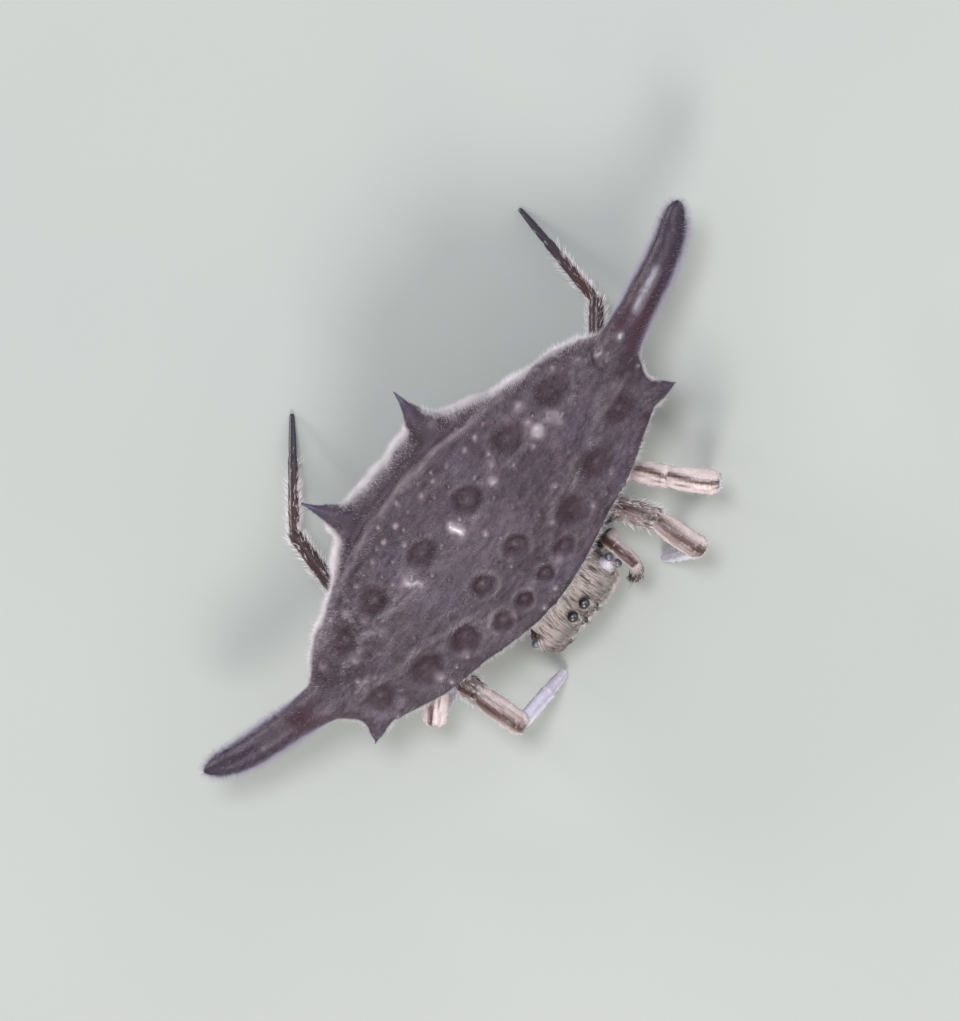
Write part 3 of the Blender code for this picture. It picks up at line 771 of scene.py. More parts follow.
def gathered(roots, lies, lengths, apart, pull):
    """Directions that draw the hairs near each other into pointed locks, and each one's lock."""
    seeds = spread_places(roots, apart, len(roots))
    tree = tree_of(roots[seeds])
    lock = np.array([tree.find(root)[1] for root in roots])
    tips = roots[seeds] + lies[seeds] * lengths[seeds][:, None] * 1.1
    own = roots + lies * lengths[:, None]
    return unit(own + (tips[lock] - own) * pull - roots), lock


# Coat pieces. How many hairs each has, which keeps a piece under 200,000 triangles: fine straight
# hairs take 4 triangles, and bent hairs take 10.
FINE_COUNT, HEAD_BACK_COUNT, BENT_COUNT = 46000, 20000, 19000
FRINGE_COUNT, FUZZ_COUNT, PALP_COUNT, JAW_COUNT, BROW_COUNT = 25000, 15000, 4000, 2600, 1500
BRISTLE_COUNT, STREAK_COUNT, BRUSH_COUNT = 3000, 2400, 260
# Where the velvet and the head's coat are split into pieces, in millimetres forward
VELVET_SPLITS = (0.9, -0.7)
HEAD_SPLIT = 2.9
# A weight that keeps a bare part's sum above zero
TINY = 1e-9
# Hairs differ in length and width by these shares, and in lift by this spread
LENGTH_RANGE = (0.6, 1.15)
WIDTH_RANGE = (0.8, 1.2)
LIFT_SPREAD = 0.15


def for_each(rule, count, *known):
    """A number for each hair, from one number or from a rule on what is known of the hairs."""
    return np.broadcast_to(rule(*known) if callable(rule) else float(rule), count)


def grow(name, surface, normals, material, count, weight, length, width, lift, spread,
         droop=0.25, fine=False, apart=0.0, pull=0.0, dark=0.0, white=0.0):
    """A coat piece: hairs on a surface that follow its lie, raised by a lift in degrees."""
    roots, up, uv, lie, masks = scatter(surface, normals, count, weight)
    lie = unit(lie + RANDOM.normal(0, spread, (count, 3)))
    flat = unit(lie - up * np.einsum("nk,nk->n", lie, up)[:, None])
    lengths = for_each(length, count, masks) * RANDOM.uniform(*LENGTH_RANGE, count)
    tone = RANDOM.random(count)
    if apart:
        flat, lock = gathered(roots, flat, lengths, apart, pull)
        tone = 0.4 * tone + 0.6 * RANDOM.random(count)[lock]
    angle = math.radians(lift) * (1 + RANDOM.normal(0, LIFT_SPREAD, count))
    directions = unit(flat * np.cos(angle)[:, None] + up * np.sin(angle)[:, None])
    widths = width * RANDOM.uniform(*WIDTH_RANGE, count)
    tones = {"hair_tone": tone,
             "hair_dark": np.clip(for_each(dark, count, masks, roots), 0, 1),
             "hair_white": np.clip(for_each(white, count, masks, roots), 0, 1)}
    mesh = hair_mesh(name, roots - up * widths[:, None], directions, up, lengths, widths, uv,
                     droop, fine, tones)
    new_piece(name, mesh, material)


# How deep a sigillum is: a small one, a large one, and one at the front corner
SMALL_DEPTH, LARGE_DEPTH, CORNER_DEPTH = 0.03, 0.12, 0.06


def sigilla_masks(body, upper):
    """The dished scars: displacement, then how far each point is a dish, its rim or its arc."""
    across, forward, up = body.T
    push, dish, rim, arc = np.zeros((4, len(body)))
    ragged = 0.22 * fractal(body, 0.55, 3)
    for centre, ahead, half_length, half_width in SIGILLA:
        level = disc_height(centre, ahead)
        small = half_length < 0.2
        for side in (1, -1):
            x = (across - centre * side) / half_length
            y = (forward - ahead) / half_width
            reach = np.sqrt(x ** 2 + y ** 2 + ((up - level) * 0.5 / half_length) ** 2)
            reach = (reach + ragged) / (1.0 if small else SIGILLA_SPREAD)
            inside = fall(reach, 0.42, 1.26)
            edge = bell(reach, 1.22, 0.26) * (not small)
            dot = bell(reach, 0.0, 0.65 if small else 0.15)
            depth = SMALL_DEPTH if small else LARGE_DEPTH if centre < 5.0 else CORNER_DEPTH
            bowl = inside * (1 - 0.45 * np.clip(reach, 0.0, 1.0) ** 2)
            push += (-depth * bowl + 0.01 * edge + (0.07 if small else 0.03) * dot) * upper
            inner = rise(-(y * np.sign(ahead) + 0.35 * x * side), 0.1, 0.9)
            middle = 0.40 * bell(reach, 0.0, 0.50) * (not small)
            dish = np.maximum(dish, inside * (1 - 0.5 * dot) * (1 - middle) * upper)
            rim = np.maximum(rim, np.maximum(edge * 0.25, dot * (1.0 if small else 0.3)) * upper)
            lip = bell(reach, 1.30, 0.22) * inner * (not small)
            arc = np.maximum(arc, lip * upper)
    return push, dish, rim, arc


def welt_heights(body, upper):
    """Long low swellings that run forward on the disc: how high, and how glossy."""
    height, shine = np.zeros((2, len(body)))
    for across, forward, half_width, half_length, strength in WELTS:
        ahead = (body[:, 1] - forward) / half_length
        beside = (body[:, 0] - across - 0.2 * (body[:, 1] - forward)) / half_width
        swelling = np.exp(-beside ** 2 - ahead ** 2)
        height = np.maximum(height, strength * swelling)
        shine = np.maximum(shine, min(1.0, math.sqrt(strength) * 1.2) * swelling)
    lumps = np.clip(0.9 + 0.7 * fractal(body, 0.34, 1), 0.3, 1.3) * upper
    return height * lumps, shine * lumps


# Granules: how far apart and how many at most, of the large ones and of the small ones
LARGE_APART, LARGE_COUNT = 0.40, 70
SMALL_APART, SMALL_COUNT = 0.30, 700
BEAD_RADIUS = 0.19


def granules(body, upper, dish):
    """Small glossy bumps, more of them by the sigilla and the ridge."""
    across, forward = body[:, 0], body[:, 1]
    centres = np.array([(x * side, y) for x, y, _, _ in SIGILLA for side in (1, -1)])
    near = np.min(np.linalg.norm(body[:, None, :2] - centres[None], axis=2), axis=1)
    chance = (0.05 + 0.95 * (near < 0.72) * (forward < 0.8)) * (dish < 0.05) * (upper > 0.5)
    chance *= (forward > -1.5) & (np.abs(across) < 6.2)
    large = np.flatnonzero(RANDOM.random(len(body)) < chance * 0.1)
    large = large[spread_places(body[large], LARGE_APART, LARGE_COUNT)]
    small = np.flatnonzero((RANDOM.random(len(body)) < 0.15) & (np.abs(across) < 7.0))
    small = small[spread_places(body[small], SMALL_APART, SMALL_COUNT)]
    beads = [(x * side, y, disc_height(x, y)) for x, y in BEADS for side in (1, -1)]
    places = np.vstack([body[large], beads])
    sizes = np.append(RANDOM.uniform(0.05, 0.12, len(large)), np.full(len(beads), BEAD_RADIUS))
    big = bumps_at(body, places, sizes) * upper
    little = bumps_at(body, body[small], RANDOM.uniform(0.040, 0.060, len(small)))
    return big, little * (1 - dish)


def abdomen_masks(body, normals):
    """Displacement along the normal and the masks of the abdomen at body places."""
    across, forward, up = body.T
    out = np.abs(across)
    normal_up = normals[:, 1] * -math.sin(DISC_PITCH) + normals[:, 2] * math.cos(DISC_PITCH)
    upper = rise(normal_up, 0.05, 0.45)
    push, dish, rim, arc = sigilla_masks(body, upper)
    ridge_forward = np.interp(out, RIDGE_ACROSS, RIDGE_FORWARD) + fractal(body, 0.9, 2) * 0.05
    ridge = bell(forward, ridge_forward, 0.080)
    ridge *= rise(normal_up, -0.2, 0.25) * fall(out, 3.6, 4.6)
    trench = bell(forward - ridge_forward, -0.17, 0.09) * fall(out, 3.0, 4.0)
    push += 0.08 * ridge - 0.04 * trench * rise(up, -1.2, -0.4)
    fold = bell(forward, np.interp(out, FOLD_ACROSS, FOLD_FORWARD), 0.09)
    fold *= upper * rise(out, 1.6, 2.4) * fall(out, 5.6, 6.2)
    push += 0.03 * fold
    behind = rise(ridge_forward - forward, 0.05, 0.35) * rise(up, -2.2, -1.0)
    wrinkle = np.sin(across * 7.5 + forward * 1.3) * 0.5 + 0.5
    push += 0.03 * behind * wrinkle * fall(out, 2.2, 3.2)
    below = fall(normal_up, -0.4, -0.05) * fall(out, 5.0, 6.5)
    push += 0.04 * below * np.sin(np.hypot(across, (forward + 0.3) * 1.4) * 5.5)
    spine = rise(out, 5.7, 9.4)
    sheen = rise(out, 6.9, 7.4) * fall(out, 8.2, 9.0)
    sheen *= rise(normal_up, 0.72, 0.90)
    front_reach = out * 0.8 + forward * 0.6
    rear_reach = -forward - 0.25 * np.abs(out - 1.7)
    corner = rise(forward, 1.2, 1.6)
    thorn = np.maximum(rise(front_reach, 5.85, 6.15), rise(rear_reach, 2.2, 2.6))
    tip = np.maximum(rise(front_reach, 6.0, 6.45) * corner,
                     rise(rear_reach, 2.35, 3.1))
    big, little = granules(body, upper, dish)
    welt, shine = welt_heights(body, upper)
    push += 0.07 * big + 0.028 * little * (1 - spine) + WELT_HEIGHT * welt
    uneven = fractal(body, 0.22, 3) * 0.010 + fractal(body, 0.8, 2) * 0.02
    push += uneven * (1 - dish) * (1 - 0.5 * welt)
    # Pale skin and white hair along the outline, where the shell turns edge-on, are painted rim
    # light; so is the pale band along the front edge.
    side_on = bell(normal_up, 0.22, 0.36)
    brink = bell(normal_up, -0.02, 0.20)
    patchy = np.clip(0.85 + 0.5 * fractal(body, 0.7, 2), 0.45, 1.0)
    edge = side_on * (forward < 0.5) * fall(out, 5.6, 6.6) * (1 - thorn) * patchy
    front_edge = brink * (forward >= 0.5) * fall(out, 6.0, 7.0) * (1 - thorn)
    pale = np.maximum(0.8 * edge ** 1.5, 0.6 * front_edge) * (0.75 + 0.5 * fractal(body, 0.4, 2))
    pale *= fall(dish + big, 0.3, 0.8)
    # Pale ridge, front fold, sigilla arcs and rims; the welts' pale tops are painted highlight
    light = np.maximum.reduce([ridge * 0.50, fold * 0.25, arc * 0.26, rim * 0.40,
                               welt * 0.75 * (out < 5.0)])
    light *= np.clip(0.75 + 0.9 * fractal(body, 0.35, 2), 0, 1)
    bright = np.clip(0.55 + 1.3 * fractal(body, 0.9, 1), 0.2, 1.0)
    # Beads and large granules are painted pale as painted highlight
    light = np.maximum.reduce([light, big * 0.85 * bright, rise(rim, 0.3, 0.9) * bright])
    gloss = np.maximum.reduce([dish * 0.3, rim * 0.55, big * 0.6, little * 0.3, tip * 0.5,
                               shine * 0.95, sheen * 0.75])
    # Where the rear face is painted darker as painted shade, less on the pale edge, the thorns and
    # the beads
    behind = behind * (1 - edge) * (1 - thorn) * (1 - big) * fall(out, 4.5, 5.5)
    return push, {
        "dish": dish * (1 - rim * 0.5),
        # pale marks, with painted highlight on welts and beads
        "fold": np.clip(light, 0, 1),
        "spine": spine,
        # rim and edge: painted rim light along the outline
        "rim": np.clip(pale, 0, 1),
        "tip": tip,
        "edge": np.maximum(edge, 0.8 * front_edge),
        "gloss": gloss,
        "thorn": thorn,
        "arc": np.maximum(arc, 0.7 * fold),
        # painted shade on the rear face
        "behind": behind,
        "flank": bell(normal_up, 0.0, 0.42),
    }


def abdomen_uv(body):
    """The abdomen unrolled about its long axis."""
    across, forward, up = body.T
    middle_forward = np.interp(np.abs(across), [0, 3, 6, 10], [0.5, 0.5, 0.35, -0.7])
    middle_up = np.interp(np.abs(across), [0, 3, 6, 8, 10], [-1.4, -1.4, -1.6, -2.1, -2.25])
    turn = np.arctan2(up - middle_up, forward - middle_forward)
    u = 0.01 + 0.97 * (across + 10.2) / 20.4
    v = 0.01 + 0.97 * (turn / (2 * math.pi) + 0.5)
    return np.stack([u, v], 1)


def abdomen_lie(body):
    """Hair lies away from the middle of the back, rearward, and out along each spine."""
    across, forward = body[:, 0], body[:, 1]
    along_spine = rise(np.abs(across), 5.6, 6.8)
    outward = np.stack([np.sign(across) * np.abs(across) ** 0.7 * 0.5,
                        (forward - 0.4) * 0.5 - 0.6, np.full(len(body), -0.4)], 1)
    spine_way = np.stack([np.sign(across), np.full(len(body), -0.22),
                          np.full(len(body), -0.2)], 1)
    return turn_to_world(unit(outward) * (1 - along_spine)[:, None]
                         + spine_way * along_spine[:, None])


# The least radius of a short spine before the coat's depth is taken off
THORN_RADIUS = 0.062
# Sides of the round rods and balls, and the mesh size of the two skins in millimetres
ROUND_SIDES = 28
ABDOMEN_VOXEL = 0.044
BODY_VOXEL = 0.038


def make_abdomen(material):
    """The shell, its spines and its scars as one skin."""
    stations = 90
    steps = 12
    last = ABDOMEN_SECTIONS[-1][0]
    portion = np.linspace(-1, 1, 2 * stations + 1)
    across = last * (np.sin(portion * math.pi / 2) * STATION_EASING
                     + portion * (1 - STATION_EASING))
    outlines = abdomen_outline(across, steps)
    sides = outlines.shape[1]
    rings = np.concatenate([np.broadcast_to(across[:, None, None], (len(across), sides, 1)),
                            outlines], -1)
    ends = np.stack([rings[0].mean(0), rings[-1].mean(0)])
    points = [to_world(np.vstack([rings.reshape(-1, 3), ends]))]
    faces = ring_faces(len(across), sides)
    offset = len(points[0])
    for spine, count in ((LONG_SPINE, 70), (FRONT_SPINE, 30), (REAR_SPINE, 40)):
        for side in (1, -1):
            row = curve_through(spine, np.linspace(0, len(spine) - 1, count))
            if spine is not LONG_SPINE:
                row[:, 3] = np.maximum(row[:, 3], THORN_RADIUS)
                row[:, 3] *= 0.35 + 0.65 * rise(np.linspace(0, 1, count), 0.0, 0.2)
            thick = rise(row[:, 0], SPINE_COAT_START, SPINE_COAT_FULL)
            row[:, 3] -= thick * (SPINE_COAT - COAT_DEPTH)
            row = row[row[:, 3] > 0.02]
            row[:, 0] *= side
            tube = sweep(to_world(row[:, :3]), row[:, 3], ROUND_SIDES, (0.0, 0.3, 1.0))
            points.append(tube.points)
            faces += [tuple(index + offset for index in face) for face in tube.faces]
            offset += len(tube.points)
    skin = remeshed(np.vstack(points), faces, ABDOMEN_VOXEL, 3)
    body = to_body(points_of(skin))
    hollow = np.zeros(len(body))
    for x, ahead, height, reach in SPINE_ROOTS:
        for side in (1, -1):
            hollow = np.maximum(hollow, around(body, (x * side, ahead, height),
                                               reach * 0.4, reach))
    relax(skin, hollow, 50)
    normals = normals_of(skin)
    places = points_of(skin) - normals * COAT_DEPTH
    body = to_body(places)
    push, masks = abdomen_masks(body, normals)
    places = places + normals * push[:, None]
    quads = [tuple(face.vertices) for face in skin.polygons]
    bpy.data.meshes.remove(skin)
    shown = {name: masks[name] for name in
             ("dish", "fold", "spine", "rim", "gloss", "tip", "behind")}
    mesh = skin_piece("abdomen_skin", places, quads, material, ["abdomen"], shown)
    body = to_body(places)
    masks["across"] = body[:, 0]
    surface = Surface(places, quads, abdomen_uv(body), abdomen_lie(body), masks)
    return surface, normals_of(mesh)


def carapace_surface():
    """Head and thorax, with grooves between them and dark patches at two of the eyes."""
    rows = np.array(CARAPACE_SECTIONS)
    stations = 110
    sides = 120
    portion = np.linspace(0, 1, stations)
    eased = 0.5 - 0.5 * np.cos(math.pi * portion)
    forward = rows[0, 0] + (rows[-1, 0] - rows[0, 0]) * (0.5 * portion + 0.5 * eased)
    position = np.interp(forward, rows[:, 0], np.arange(len(rows)))
    sections = curve_through(rows, position)
    angle = np.arange(sides) / sides * 2 * math.pi
    power = 2 / CARAPACE_SQUARENESS
    c = np.sign(np.cos(angle)) * np.abs(np.cos(angle)) ** power
    s = np.sign(np.sin(angle)) * np.abs(np.sin(angle)) ** power
    half_width = sections[:, 1] - HEAD_COAT
    middle = (sections[:, 2] + sections[:, 3]) / 2
    half_height = (sections[:, 2] - sections[:, 3]) / 2 - HEAD_COAT
    across = half_width[:, None] * c[None]
    up = middle[:, None] + half_height[:, None] * s[None]
    front_coat = HEAD_COAT * rise(forward, 3.9, 4.3)
    ahead = np.broadcast_to((forward - front_coat)[:, None], across.shape)
    body = np.stack([across, ahead, up], -1).reshape(-1, 3)
    top = rise(np.tile(s, stations), 0.0, 0.6)
    groove = bell(np.abs(body[:, 0]) - 0.35, 0.32 * (body[:, 1] - 1.2), 0.12)
    groove *= top * rise(body[:, 1], 1.0, 1.6) * fall(body[:, 1], 2.9, 3.4)
    body[:, 2] -= 0.06 * groove
    body = np.vstack([body, body[:sides].mean(0), body[-sides:].mean(0)])
    top = np.append(top, [0.0, 0.5])
    patches = np.zeros(len(body))
    x, ahead, height, radius = EYE_MOUNDS[1]
    for side in (1, -1):
        patch = around(body, (x * side, ahead - 0.08, height), radius * 0.7, radius + 0.02)
        patches = np.maximum(patches, patch)
    u = 0.02 + 0.46 * (np.arange(sides) + 0.5) / sides
    v = 0.02 + 0.44 * portion
    uv = np.stack(np.broadcast_arrays(u[None], v[:, None]), -1).reshape(-1, 2)
    uv = np.vstack([uv, uv[0], uv[-1]])
    lie = np.stack([body[:, 0] * 0.10, np.ones(len(body)), np.full(len(body), -0.12)], 1)
    surface = Surface(to_world(body), ring_faces(stations, sides), uv, turn_to_world(lie))
    return surface.fill_masks(pale=0.10 * top, dusk=0.3 + 0.7 * patches)


def ball_surface(centre, radius, uv_box=(0.0, 0.0, 1.0, 1.0)):
    """A ball at a place in the frame, in millimetres."""
    turns = np.linspace(-1, 1, 19) * math.pi / 2
    path = np.asarray(centre, float) + np.outer(np.sin(turns) * radius, (0.0, 0.0, 1.0))
    radii = np.maximum(np.cos(turns) * radius, 0.003)
    return sweep(path, radii, ROUND_SIDES, (1.0, 0.0, 0.0), uv_box)


def capsule(start, end, radii, bow=(0.0, 0.0, 0.0), uv_box=(0.0, 0.0, 1.0, 1.0)):
    """One leg segment: a swelling rod with round ends that reach past its two joints."""
    start, end, bow = (np.asarray(value, float) for value in (start, end, bow))
    first, middle, last = radii
    rings, sides = 40, 26
    length = np.linalg.norm(end - start)
    reach = np.array([-first, length + last * CAP_REACH]) / length
    eased = 0.5 - 0.5 * np.cos(np.linspace(0, math.pi, rings))
    t = reach[0] + (reach[1] - reach[0]) * (0.5 * np.linspace(0, 1, rings) + 0.5 * eased)
    inner = np.clip(t, 0, 1)
    swell = 4 * inner * (1 - inner)
    radius = first + (last - first) * inner + (middle - (first + last) / 2) * swell
    radius += 0.12 * last * bell(inner, 0.93, 0.04)
    radius -= 0.14 * first * bell(inner, 0.02, 0.05)
    before = np.clip(-t * length / first, 0, 0.999)
    after = np.clip((t - 1) * length / (last * CAP_REACH), 0, 0.999)
    radius = radius * np.sqrt(1 - np.maximum(before, after) ** 2)
    path = start + (end - start) * t[:, None] + bow * swell[:, None]
    upright = abs(end[2] - start[2]) > 0.8 * length
    return sweep(path, radius, sides, (0.0, 1.0, 0.0) if upright else (0.0, 0.0, 1.0), uv_box)


def hip_points(side, hip):
    """The inner end, middle and outer end of a hip, in body millimetres."""
    rows = np.array(CARAPACE_SECTIONS)
    hip_forward, degrees = hip
    out = np.array([math.cos(math.radians(degrees)), math.sin(math.radians(degrees)), 0.0])
    half_width = np.interp(hip_forward, rows[:, 0], rows[:, 1])
    start = np.array([half_width + HIP_GAP, hip_forward, HIP_UP])
    mirror = np.array([side, 1.0, 1.0])
    return [(start + out * step) * mirror
            for step in (-HIP_GAP - HIP_ROOT, HIP_REACH * 0.45, HIP_REACH)]


def leg_surface(name, strip):
    """All segments of one leg, with stripes along it."""
    side, hip, knee, patella_end, ankle, foot = LEGS[name]
    pair = int(name[1])
    column = 2 if pair == 4 else 1
    tip_radius = LEG_SEGMENTS[-1][column][2]
    mirror = np.array([side, 1.0, 1.0])
    joints = [to_world(point) for point in hip_points(side, hip)]
    joints += [to_world(np.array(point) * mirror) for point in (knee, patella_end, ankle)]
    low = (-DISC_HEIGHT + foot[1] * math.sin(DISC_PITCH)) / math.cos(DISC_PITCH)
    claw = to_world(np.array([foot[0] * side, foot[1], low]))
    claw[2] = tip_radius + FLOOR_GAP
    tarsus = joints[-1] + (claw - joints[-1]) * TARSUS_START
    joints += [tarsus, claw]
    surfaces = []
    for index, row in enumerate(LEG_SEGMENTS):
        part, radii, dusk = row[0], row[column], row[3][pair - 1]
        v = 0.52 + 0.46 * index / len(LEG_SEGMENTS)
        box = (strip, v, strip + 0.11, v + 0.06)
        bow = (0.0, 0.0, 0.05) if part in ("thigh", "shin") else (0.0, 0.0, 0.0)
        surface = capsule(joints[index], joints[index + 1], radii, bow, box)
        turn, along = surface.masks["turn"] * side, surface.masks["along"]
        wander = 9.0 * np.sin(along * 6.0 + index * 1.7)
        dark = np.zeros(len(turn))
        widening = 2.6 if pair == 1 and part == "shin" else 1.1
        for centre, half_width, strength in STRIPES:
            stripe = bell(turn + wander, centre, half_width * widening)
            dark = np.maximum(dark, strength * stripe)
        ends = np.maximum(fall(along, 0.03, 0.12), rise(along, 0.88, 0.95))
        if part in ("coxa", "trochanter"):
            dark = 0.6 + 0.4 * dark
        cool = 1.0 if part in ("metatarsus", "tarsus") and pair < 3 else 0.0
        if cool:
            dark = 0.45 * dark
        spot = ends * (0.75 if pair < 3 else 0.4) * (part in ("thigh", "shin", "patella"))
        if pair == 4 and part == "metatarsus":
            dusk = dusk - 0.25 + 0.4 * along
        dusk = np.clip(dusk + (0.2 if pair < 3 else 0.6) * spot * dark, 0, 1)
        surfaces.append(surface.fill_masks(pale=(1 - dark) * (1 - 0.5 * spot), cool=cool,
                                           dusk=dusk))
    return surfaces


def palp_surface(points, side, strip):
    """One palp: pale above, with a dark band along its outer side."""
    dense = curve_through(points, np.linspace(0, len(points) - 1, 200))
    dense[:, 0] *= side
    final = len(dense) - 1
    surfaces = []
    for index, (start, end, radii) in enumerate(PALP_SEGMENTS):
        ends = [to_world(dense[int(share * final)]) for share in (start, end)]
        middle = to_world(dense[int((start + end) / 2 * final)])
        bow = middle - (ends[0] + ends[1]) / 2
        v = 0.52 + 0.46 * index / len(PALP_SEGMENTS)
        surface = capsule(*ends, radii, bow, (strip, v, strip + 0.025, v + 0.08))
        turn = surface.masks["turn"] * side
        dark = np.exp(-((turn + 6.0) / 46.0) ** 4)
        last = index == len(PALP_SEGMENTS) - 1
        tip = rise(surface.masks["along"], 0.2, 0.7) if last else 0.0
        if side > 0:
            surface.fill_masks(pale=1 - dark, dusk=0.04 + 0.05 * index + 0.6 * tip)
        else:
            surface.fill_masks(pale=0.5 - 0.4 * dark, dusk=0.45 + 0.3 * tip)
        surfaces.append(surface)
    return surfaces


def skin_over(parts, voxel, rounds):
    """One closed skin over several surfaces, which keeps the masks of the nearest of them."""
    source = joined(parts)
    skin = remeshed(source.points, source.faces, voxel, rounds)
    places = points_of(skin)
    quads = [tuple(face.vertices) for face in skin.polygons]
    bpy.data.meshes.remove(skin)
    tree = tree_of(source.points)
    nearest = np.array([tree.find(place)[1] for place in places])
    masks = {name: values[nearest] for name, values in source.masks.items()}
    return Surface(places, quads, source.uv[nearest], source.lie[nearest], masks)


def make_body(material):
    """Head, thorax, legs and palps as one skin, and a mask of where the head's coat grows."""
    pedicel = capsule(to_world((0.0, 0.72, -3.45)), to_world((0.0, 0.60, -2.55)),
                      (0.28, 0.26, 0.28), uv_box=(0.3, 0.47, 0.4, 0.5))
    parts = [carapace_surface(), pedicel.fill_masks(dusk=1.0)]
    for x, ahead, height, radius in EYE_MOUNDS:
        for side in (1, -1):
            mound = ball_surface(to_world((x * side, ahead, height)), radius - 0.03,
                                 (0.02, 0.47, 0.10, 0.49))
            mound.lie = np.tile(turn_to_world((0.0, 1.0, -0.2)), (len(mound.points), 1))
            rear_middle = x < 1 and ahead < 4.1
            parts.append(mound.fill_masks(pale=0.1, dusk=0.8 if rear_middle else 0.4))
    for part in parts:
        part.masks["cool"] = np.full(len(part.points), -1.0)
    for index, name in enumerate(sorted(LEGS)):
        parts += leg_surface(name, 0.01 + 0.118 * index)
    parts += palp_surface(PALP_LEFT, 1, 0.945)
    parts += palp_surface(PALP_RIGHT, -1, 0.970)
    skin = skin_over(parts, BODY_VOXEL, 2)
    head = (skin.masks["cool"] < -0.5).astype(float)
    skin.masks["cool"] = np.maximum(skin.masks["cool"], 0.0)
    body = to_body(skin.points)
    body[:, 0] = np.abs(body[:, 0])
    eyes = np.zeros(len(body))
    left = skin.points[:, 0] > 0
    for x, ahead, height, radius in EYE_MOUNDS:
        place = (x, ahead, height)
        near = around(body, place, radius, radius + 0.2) * head
        if x > 1:
            # The left mound is painted paler and cooler than the right: a painted highlight over the
            # mound's own pale colour
            bare = around(body, place, radius, radius + 0.06) * np.where(left, 1.0, 0.25)
            for name, value in (("cool", 0.9), ("pale", 0.75), ("dusk", 0.0)):
                skin.masks[name] += (value - skin.masks[name]) * bare * head
        else:
            eyes = np.maximum(eyes, near * (1.0 if ahead < 4.1 else 0.35))
    skin.masks["bare"] = skin.masks["cool"] * head
    skin.masks["eyes"] = eyes
    shown = {name: skin.masks[name] for name in SHARED_MASKS}
    replaced = ["cephalothorax", "pedipalp_L", "pedipalp_R"] + ["leg_" + name for name in LEGS]
    mesh = skin_piece("body_skin", skin.points, skin.faces, material, replaced, shown)
    skin.masks["head"] = head
    return skin, normals_of(mesh)


def make_eyes(middle, lateral):
    """Each eye is a smooth glossy ball where its solid is, black in the middle, pearly beside."""
    for node in sorted(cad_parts):
        if not node.startswith("eye_"):
            continue
        low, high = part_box(node)
        ball = ball_surface((low + high) / 2 / MM, (high.z - low.z) / 2 / MM)
        material = lateral if "lateral" in node else middle
        skin_piece(node + "_ball", ball.points, ball.faces, material, [node], {})


def make_jaws(material, hair):
    """Two jaws with folded fangs, and short hair down their fronts."""
    for side, letter in ((1, "L"), (-1, "R")):
        parts = []
        for points, count in ((CHELICERA, 40), (FANG, 24)):
            row = curve_through(points, np.linspace(0, len(points) - 1, count))
            row[:, 0] *= side
            parts.append(sweep(to_world(row[:, :3]), row[:, 3], ROUND_SIDES, (0.0, -1.0, 0.2)))
        jaw = joined([part.fill_masks() for part in parts])
        mesh = skin_piece("jaw_" + letter, jaw.points, jaw.faces, material,
                          ["chelicera_" + letter], {})
        normals = normals_of(mesh)
        front = rise(-normals[:, 1], -0.2, 0.5)
        front[len(parts[0].points):] = 0.0
        low = jaw.points[:, 2].min()
        front *= rise(jaw.points[:, 2], low + 0.25, low + 0.5)
        grow("jaw_hair_" + letter, jaw, normals, hair, JAW_COUNT, front + TINY, length=0.14,
             width=0.008, lift=20, spread=0.15, fine=True, white=0.3)


def make_spinnerets(material):
    """A ring on the belly with six short spinnerets in it."""
    low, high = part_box("spinnerets")
    centre = np.array((low + high) / 2) / MM
    top = high.z / MM
    bottom = low.z / MM
    height = top - bottom
    reach = (high.x - low.x) / 2 / MM
    profile = [(0.95, 0.55), (0.90, 0.86), (0.80, 0.96), (0.62, 0.90), (0.55, 0.78),
               (0.50, 0.62), (0.48, 0.3)]
    path = [(centre[0], centre[1], bottom + height * level) for level, _ in profile]
    radii = np.array([[reach * share] for _, share in profile])
    steps = np.linspace(0, len(profile) - 1, 40)
    parts = [sweep(curve_through(path, steps), curve_through(radii, steps)[:, 0], 40,
                   (1.0, 0.0, 0.0))]
    parts.append(capsule(centre + (0, 0, height * 0.4), centre + (0, 0, height * 0.75),
                         (0.35, 0.35, 0.35)))
    for side in (1, -1):
        for ahead, lean in ((-0.24, 0.10), (0.02, 0.0), (0.26, -0.10)):
            base = (centre[0] + side * 0.24, centre[1] + ahead, bottom + height * 0.62)
            tip = (centre[0] + side * 0.15, centre[1] + ahead + lean, bottom + height * 0.12)
            parts.append(capsule(base, tip, (0.16, 0.15, 0.07)))
    organ = joined([part.fill_masks() for part in parts])
    skin_piece("spinneret_group", organ.points, organ.faces, material,
               ["spinnerets"], {})


